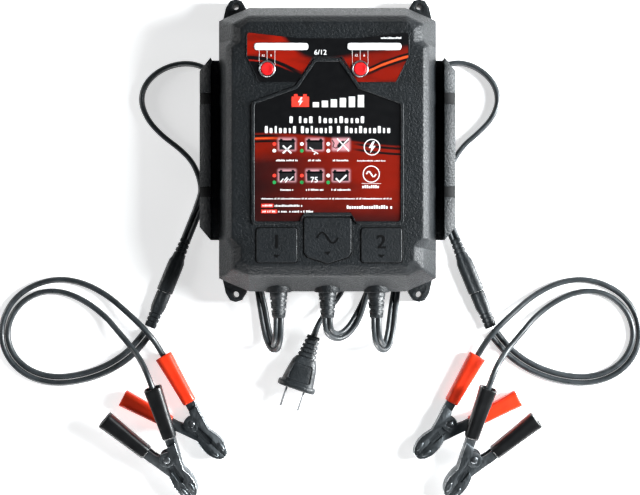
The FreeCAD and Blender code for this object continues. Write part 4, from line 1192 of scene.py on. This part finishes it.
def numerals(name, text, x, y, size, key, base=FILM_TOP, height=PRINT_HIGH, wide=1.0):
    """Plain numerals, centred on (x, y)."""
    data = bpy.data.curves.new(name, "FONT")
    data.body = text
    data.size = size * MM
    data.align_x = "CENTER"
    data.align_y = "CENTER"
    data.extrude = height * MM / 2
    data.offset = 0.012 * size * MM
    holder = new_object("text", data)
    mesh = worked(evaluated_mesh(holder), welded)
    bpy.data.objects.remove(holder)
    mesh.transform(shifted(x, y, base + height / 2) @ Matrix.Diagonal((wide, 1, 1, 1)))
    return finish_piece(new_object(name, mesh), key, "root")


def stroke(points, wide):
    """A line of even width through points, as one outline."""
    left = []
    right = []
    for i, point in enumerate(points):
        ahead = Vector(points[min(i + 1, len(points) - 1)]) - Vector(points[max(i - 1, 0)])
        side = Vector((-ahead.y, ahead.x)).normalized() * wide / 2
        left.append(tuple(Vector(point) + side))
        right.append(tuple(Vector(point) - side))
    return left + right[::-1]


def box(left, low, wide, tall):
    return [(left, low), (left + wide, low), (left + wide, low + tall), (left, low + tall)]


def greeked(left, right, y, tall, seed):
    """A line of small blocks in word-like groups: print too small or too specific to spell out."""
    outlines = []
    pitch = tall * 0.72
    x = left
    count = seed
    while x + pitch * 0.75 <= right:
        count = (count * 37 + 11) % 101
        if count % 7 == 0:
            x += pitch * 0.8
            continue
        outlines.append(box(x, y - tall / 2, pitch * 0.72, tall if count % 3 == 0 else tall * 0.74))
        x += pitch
    return outlines


def words(left, right, y, tall, counts):
    """A headline as plain blocks, in groups of the given sizes, spread over the given width."""
    pitch = (right - left) / (sum(counts) + 0.7 * (len(counts) - 1))
    outlines = []
    x = left
    for count in counts:
        for k in range(count):
            high = tall if k == 0 or (k * 5 + count) % 4 == 1 else tall * 0.72
            wide = pitch * (0.62 if (k + count) % 3 else 0.42)
            block = rectangle(x + pitch * 0.4, y - tall / 2 + high / 2, wide, high)
            outlines.append(rounded(block, wide * 0.3, 2))
            x += pitch
        x += 0.7 * pitch
    return outlines


def ring_pieces(x, y, radius, wide, count=24):
    """A ring as short segments that meet, because one outline can't have a hole."""
    outer = circle(x, y, radius, count)
    inner = circle(x, y, radius - wide, count)
    return [[inner[i], outer[i], outer[(i + 1) % count], inner[(i + 1) % count]] for i in range(count)]


def moved(shapes, x, y):
    return [[(x + a, y + b) for a, b in shape] for shape in shapes]


def dots(*centres):
    return [circle(x, y, DOT) for x, y in centres]


BATTERY = [box(-5.2, -3.6, 10.4, 6.2), box(-5.7, 1.7, 11.4, 1.2),
           box(-4.9, 2.8, 1.8, 1.1), box(3.1, 2.8, 1.8, 1.1)]
PLUG_ICON = [stroke([(-6, 3), (-4.6, 0.8), (-5.4, -1.6), (-3.4, -2.6), (-1.4, -1)], 0.7),
             [(-1.8, -2.4), (1.2, -1.4), (3.4, 0.8), (1.6, 2.6), (-0.8, 1.8), (-2.6, -0.6)],
             stroke([(2.4, 2.0), (4.4, 3.4)], 0.6), stroke([(3.2, 0.8), (5.2, 2.2)], 0.6)]
BOLT = [(0.1, 1), (-0.55, -0.12), (-0.08, -0.12), (-0.3, -1), (0.6, 0.22), (0.1, 0.22), (0.5, 1)]
# Each sign: its column, its height on the film, and strokes of (points, width) about that point.
SIGNS = [
    (0, 0, ([(-2.9, -3.8), (2.9, 1.4)], 1.15), ([(-2.9, 1.4), (2.9, -3.8)], 1.15)),
    (1, 0, ([(-3.6, 0.2), (-1.2, -1.4), (-2.0, -2.0), (0.8, -3.2)], 0.7),
     ([(-0.6, -4.6), (0.8, -3.2), (2.2, -4.2)], 0.8)),
    (2, 2.2, ([(-2.6, -4.6), (5.4, 4.0)], 0.8), ([(-2.6, 4.0), (5.4, -4.6)], 0.8)),
    (0, 0, ([(-4.4, -23.4), (-2.6, -21.0), (-1.8, -22.2), (0.2, -20.0)], 0.7),
     ([(-1.2, -23.6), (0.8, -21.0), (1.6, -22.2), (4.2, -19.6)], 0.7)),
    (2, 0, ([(-3.4, -20.8), (-1.0, -23.2), (3.8, -18.6)], 1.15)),
]


def bolt(x, y, size):
    return [(x + a * size, y + b * size) for a, b in BOLT]


dark_marks = []
for column in ICON_COLUMNS:
    for row in ICON_ROWS:
        if (column, row) != (ICON_COLUMNS[2], ICON_ROWS[0]):
            dark_marks += moved(BATTERY, column, row)
prints("icons_dark", dark_marks + moved(PLUG_ICON, ICON_COLUMNS[2], ICON_ROWS[0]), "black", height=0.05)

white_marks = []
for column, height, *lines in SIGNS:
    white_marks += moved([stroke(*line) for line in lines], ICON_COLUMNS[column], height)
white_marks += ring_pieces(30, 0.3, 5.6, 0.6) + ring_pieces(29.5, -17.9, 5.8, 0.6)
white_marks += [bolt(30, 0.3, 3.9), stroke([(26.2, -17.9), (27.4, -16.2), (28.4, -16.2), (29.5, -17.9),
                                            (30.6, -19.6), (31.6, -19.6), (32.8, -17.9)], 0.9)]
white_marks += dots((-36.1, -2.1), (-17.5, 2.5), (0.4, 2.5), (0.4, -2.1), (0.4, -18.9))
white_marks += words(-26.2, 25.7, 18.9, 4.6, (1, 3, 9)) + words(-42.8, 43.2, 12.2, 4.8, (7, 7, 1, 10))
for k in range(6):
    high = 3.4 + 0.95 * k
    white_marks.append(rectangle(-8.0 + 6.1 * k, 27.4 + high / 2, 4.2, high))
white_marks += greeked(11.6, 45, -40.2, 2.3, 3)
# Captions under the icons; the first number of each is its column, the last one the seed.
for column, wide, row, seed in ((0, 15, -8.6, 97), (1, 9, -8.6, 98), (2, 11, -8.6, 99),
                                (0, 9, -28.5, 100), (1, 12, -28.5, 101), (2, 13, -28.5, 102)):
    centre = ICON_COLUMNS[column]
    white_marks += greeked(centre - wide / 2, centre + wide / 2, row, 1.25, seed)
white_marks += greeked(20, 39.5, -8.9, 0.9, 21) + greeked(23.5, 35.5, -26.4, 2.0, 4)
white_marks += [stroke([(23, -24.3), (36, -24.3)], 0.25)]
white_marks += greeked(-45, 44, -34.5, 1.05, 17)
white_marks += greeked(-36, -17, -39.3, 1.4, 31) + greeked(-33.4, -9, -43.2, 1.4, 13)
prints("print_white_marks", white_marks, "white")
red_marks = [box(-24.4, 27.6, 11.8, 7.0), box(-22.8, 34.6, 2.4, 1.6), box(-16.6, 34.6, 2.4, 1.6),
             box(-45, -40.4, 8.2, 2.4), box(-45, -44.4, 10.8, 2.4)]
prints("print_red_marks", red_marks + dots((-36.1, 2.5), (-36.1, -18.9), (-17.5, -18.9)), "print_red")
prints("print_emblem_bolt", [bolt(-18.5, 31.1, 3.0)], "white", *OVER_PRINT)
prints("print_tag_marks", greeked(-44.2, -37.4, -39.2, 1.2, 8) + greeked(-44.2, -35, -43.2, 1.2, 2), "white",
       *OVER_PRINT)
prints("print_green_marks", dots((-17.5, -2.1), (-36.1, -23.5), (-17.5, -23.5), (0.4, -23.5)), "print_green")
numerals("print_75", "75", ICON_COLUMNS[1] - 0.4, -21.9, 5.2, "white")

# ---------------------------------------------------------------- readings, windows and buttons

CAP = [(51.6, 2), (56.1, 2), (56.12, 6.1), (57.0, 6.1), (57.1, 4.3), (61.4, 4.3), (61.75, 4.15), (61.95, 3.8),
       (61.9, 3.2), (61.72, 2.0), (61.65, 0.8)]
BEZEL = [(60, 4.95), (60, 5.8), (60.5, 5.78), (61.05, 5.6), (61.45, 5.25), (61.55, 4.95), (61.4, 4.65),
         (61.1, 4.5), (60.9, 4.6)]

numerals("print_6_12", "6/12", -4.9, 64.4, 4.6, "white", wide=1.05)
leaders = []
for name, x in BUTTONS:
    for shift, low in ((-5.3, 55.9), (0, 59.4), (5.3, 55.9)):
        leaders.append(stroke([(x + shift, 66.6), (x + shift, low)], 0.22))
    numerals(f"print_12_{name}", "12", x - 2.7, 62.4, 2.2, "white")
    numerals(f"print_6_{name}", "6", x + 2.7, 62.4, 2.2, "white")
prints("print_leaders", leaders + greeked(36, 50, 74.3, 1.3, 6), "white")


def window(x):
    """Milky light-guide bar standing a little proud, with rounded ends."""
    rings = []
    for inset, z in ((0, 57.6), (0, 60.6), (0.12, 60.8), (0.4, 60.9)):
        outline = rounded(rectangle(x, 68.5, 36.5 - 2 * inset, 4.8 - 2 * inset), 2.3 - inset, 6)
        rings.append([Vector((a, b, z)) * MM for a, b in outline])
    return smooth(skin("window", rings), 40)


def bezel(x, y, count=48):
    """A ring revolved about a vertical axis."""
    return smooth(skin("bezel", [
        [Vector((x + radius * math.cos(angle), y + radius * math.sin(angle), z)) * MM for z, radius in BEZEL]
        for angle in around(count)], closed=True), 60)


windows = joined("window_bars", [window(-31.5), window(31.5)])
finish_piece(smooth(windows, 40), "window", "root", ["display_windows"])
for name, x in BUTTONS:
    cap = turned_piece(f"button_{name}_cap", CAP, shifted(x, BUTTON_Y, 0) @ turned_about("Y", -90), 48)
    finish_piece(smooth(cap, 35), "button", f"button_{name}", [f"mode_button_{name}"])
bezels = joined("button_bezels_bright", [bezel(x, BUTTON_Y) for name, x in BUTTONS])
finish_piece(smooth(bezels, 60), "chrome", "root", ["button_bezels"])

# ---------------------------------------------------------------- marks moulded into the channel pads

marks = []
for name, x in zip(("1", "2"), PAD_X):
    numerals(f"pad_numeral_{name}", name, x, -64.2, 13, "shadow", *PAD_PRINT)
    marks.append([(x - 2.4, -72.4), (x, -74.6), (x + 2.4, -72.4)])
marks.append([(-2.2, -70.4), (0, -72.6), (2.2, -70.4)])
wave = [(-7.2 + 14.4 * k / 24, -61 + 3.6 * math.sin(2 * math.pi * k / 24)) for k in range(25)]
prints("pad_marks", marks + [stroke(wave, 1.1)], "shadow", *PAD_PRINT)


def grown(outline, amount):
    """The outline moved outward; points near its middle line keep their x."""
    middle = centre_of(outline)
    return [(x + math.copysign(amount, x - middle.x) if abs(x - middle.x) > 0.5 else x,
             y + math.copysign(amount, y - middle.y)) for x, y in outline]


grooves = [frame_ridge("groove", grown(outline, 0.75), grown(outline, -0.1), 59.95, 0.12,
                       radius + 0.6, radius, 0.03)
           for outline, radius in PADS]
finish_piece(joined("pad_grooves", grooves), "shadow", "root")

# ---------------------------------------------------------------- floor, world and lights


def light(name, place, target, size, power, colour=(1, 1, 1)):
    data = bpy.data.lights.new(name, "AREA")
    data.shape = "RECTANGLE"
    data.size, data.size_y = size
    data.energy = power
    data.color = colour
    made = new_object(name, data)
    made.location = place
    made.rotation_euler = (Vector(target) - Vector(place)).to_track_quat("-Z", "Y").to_euler()


floor = mesh_object("floor", [(-2, -2, 0), (2, -2, 0), (2, 2, 0), (-2, 2, 0)], [(0, 1, 2, 3)])
paper = new_material("floor_paper", (0.9, 0.9, 0.9), 0.7)
vary(paper, "Base Color", noise(paper, 9, 2), (0.3, 0.85), (0.7, 0.88))
shader_input(paper, "Emission Color").default_value = (1, 1, 1, 1)
shader_input(paper, "Emission Strength").default_value = 0.6
floor.data.materials.append(paper)

# The sky is bright at the horizon and dark overhead, so the casing's face reflects little of it.
world = bpy.data.worlds.new("world")
scene.world = world
world.use_nodes = True
direction = add_node(world, "TexCoord").outputs["Generated"]
height = add_node(world, "SeparateXYZ", Vector=direction).outputs[2]
background = world.node_tree.nodes["Background"].inputs
feed(world, background["Color"], ramp(world, height, [(0.02, (0.95, 0.97, 1.0)), (0.26, (0.05, 0.06, 0.07))]))
background["Strength"].default_value = 0.6
light("top", (0.0, 1.3, 0.42), (0, 0, 0), (1.6, 0.3), 1.5)
light("right", (1.2, 0.0, 0.5), (0.05, 0, 0.03), (0.3, 1.1), 88, (0.94, 0.98, 1.0))
light("left", (-1.3, 0.2, 0.45), (0, 0, 0.03), (0.3, 0.9), 7)
light("front", (0.0, -1.35, 0.1), (0, 0, 0.02), (1.6, 0.12), 25)
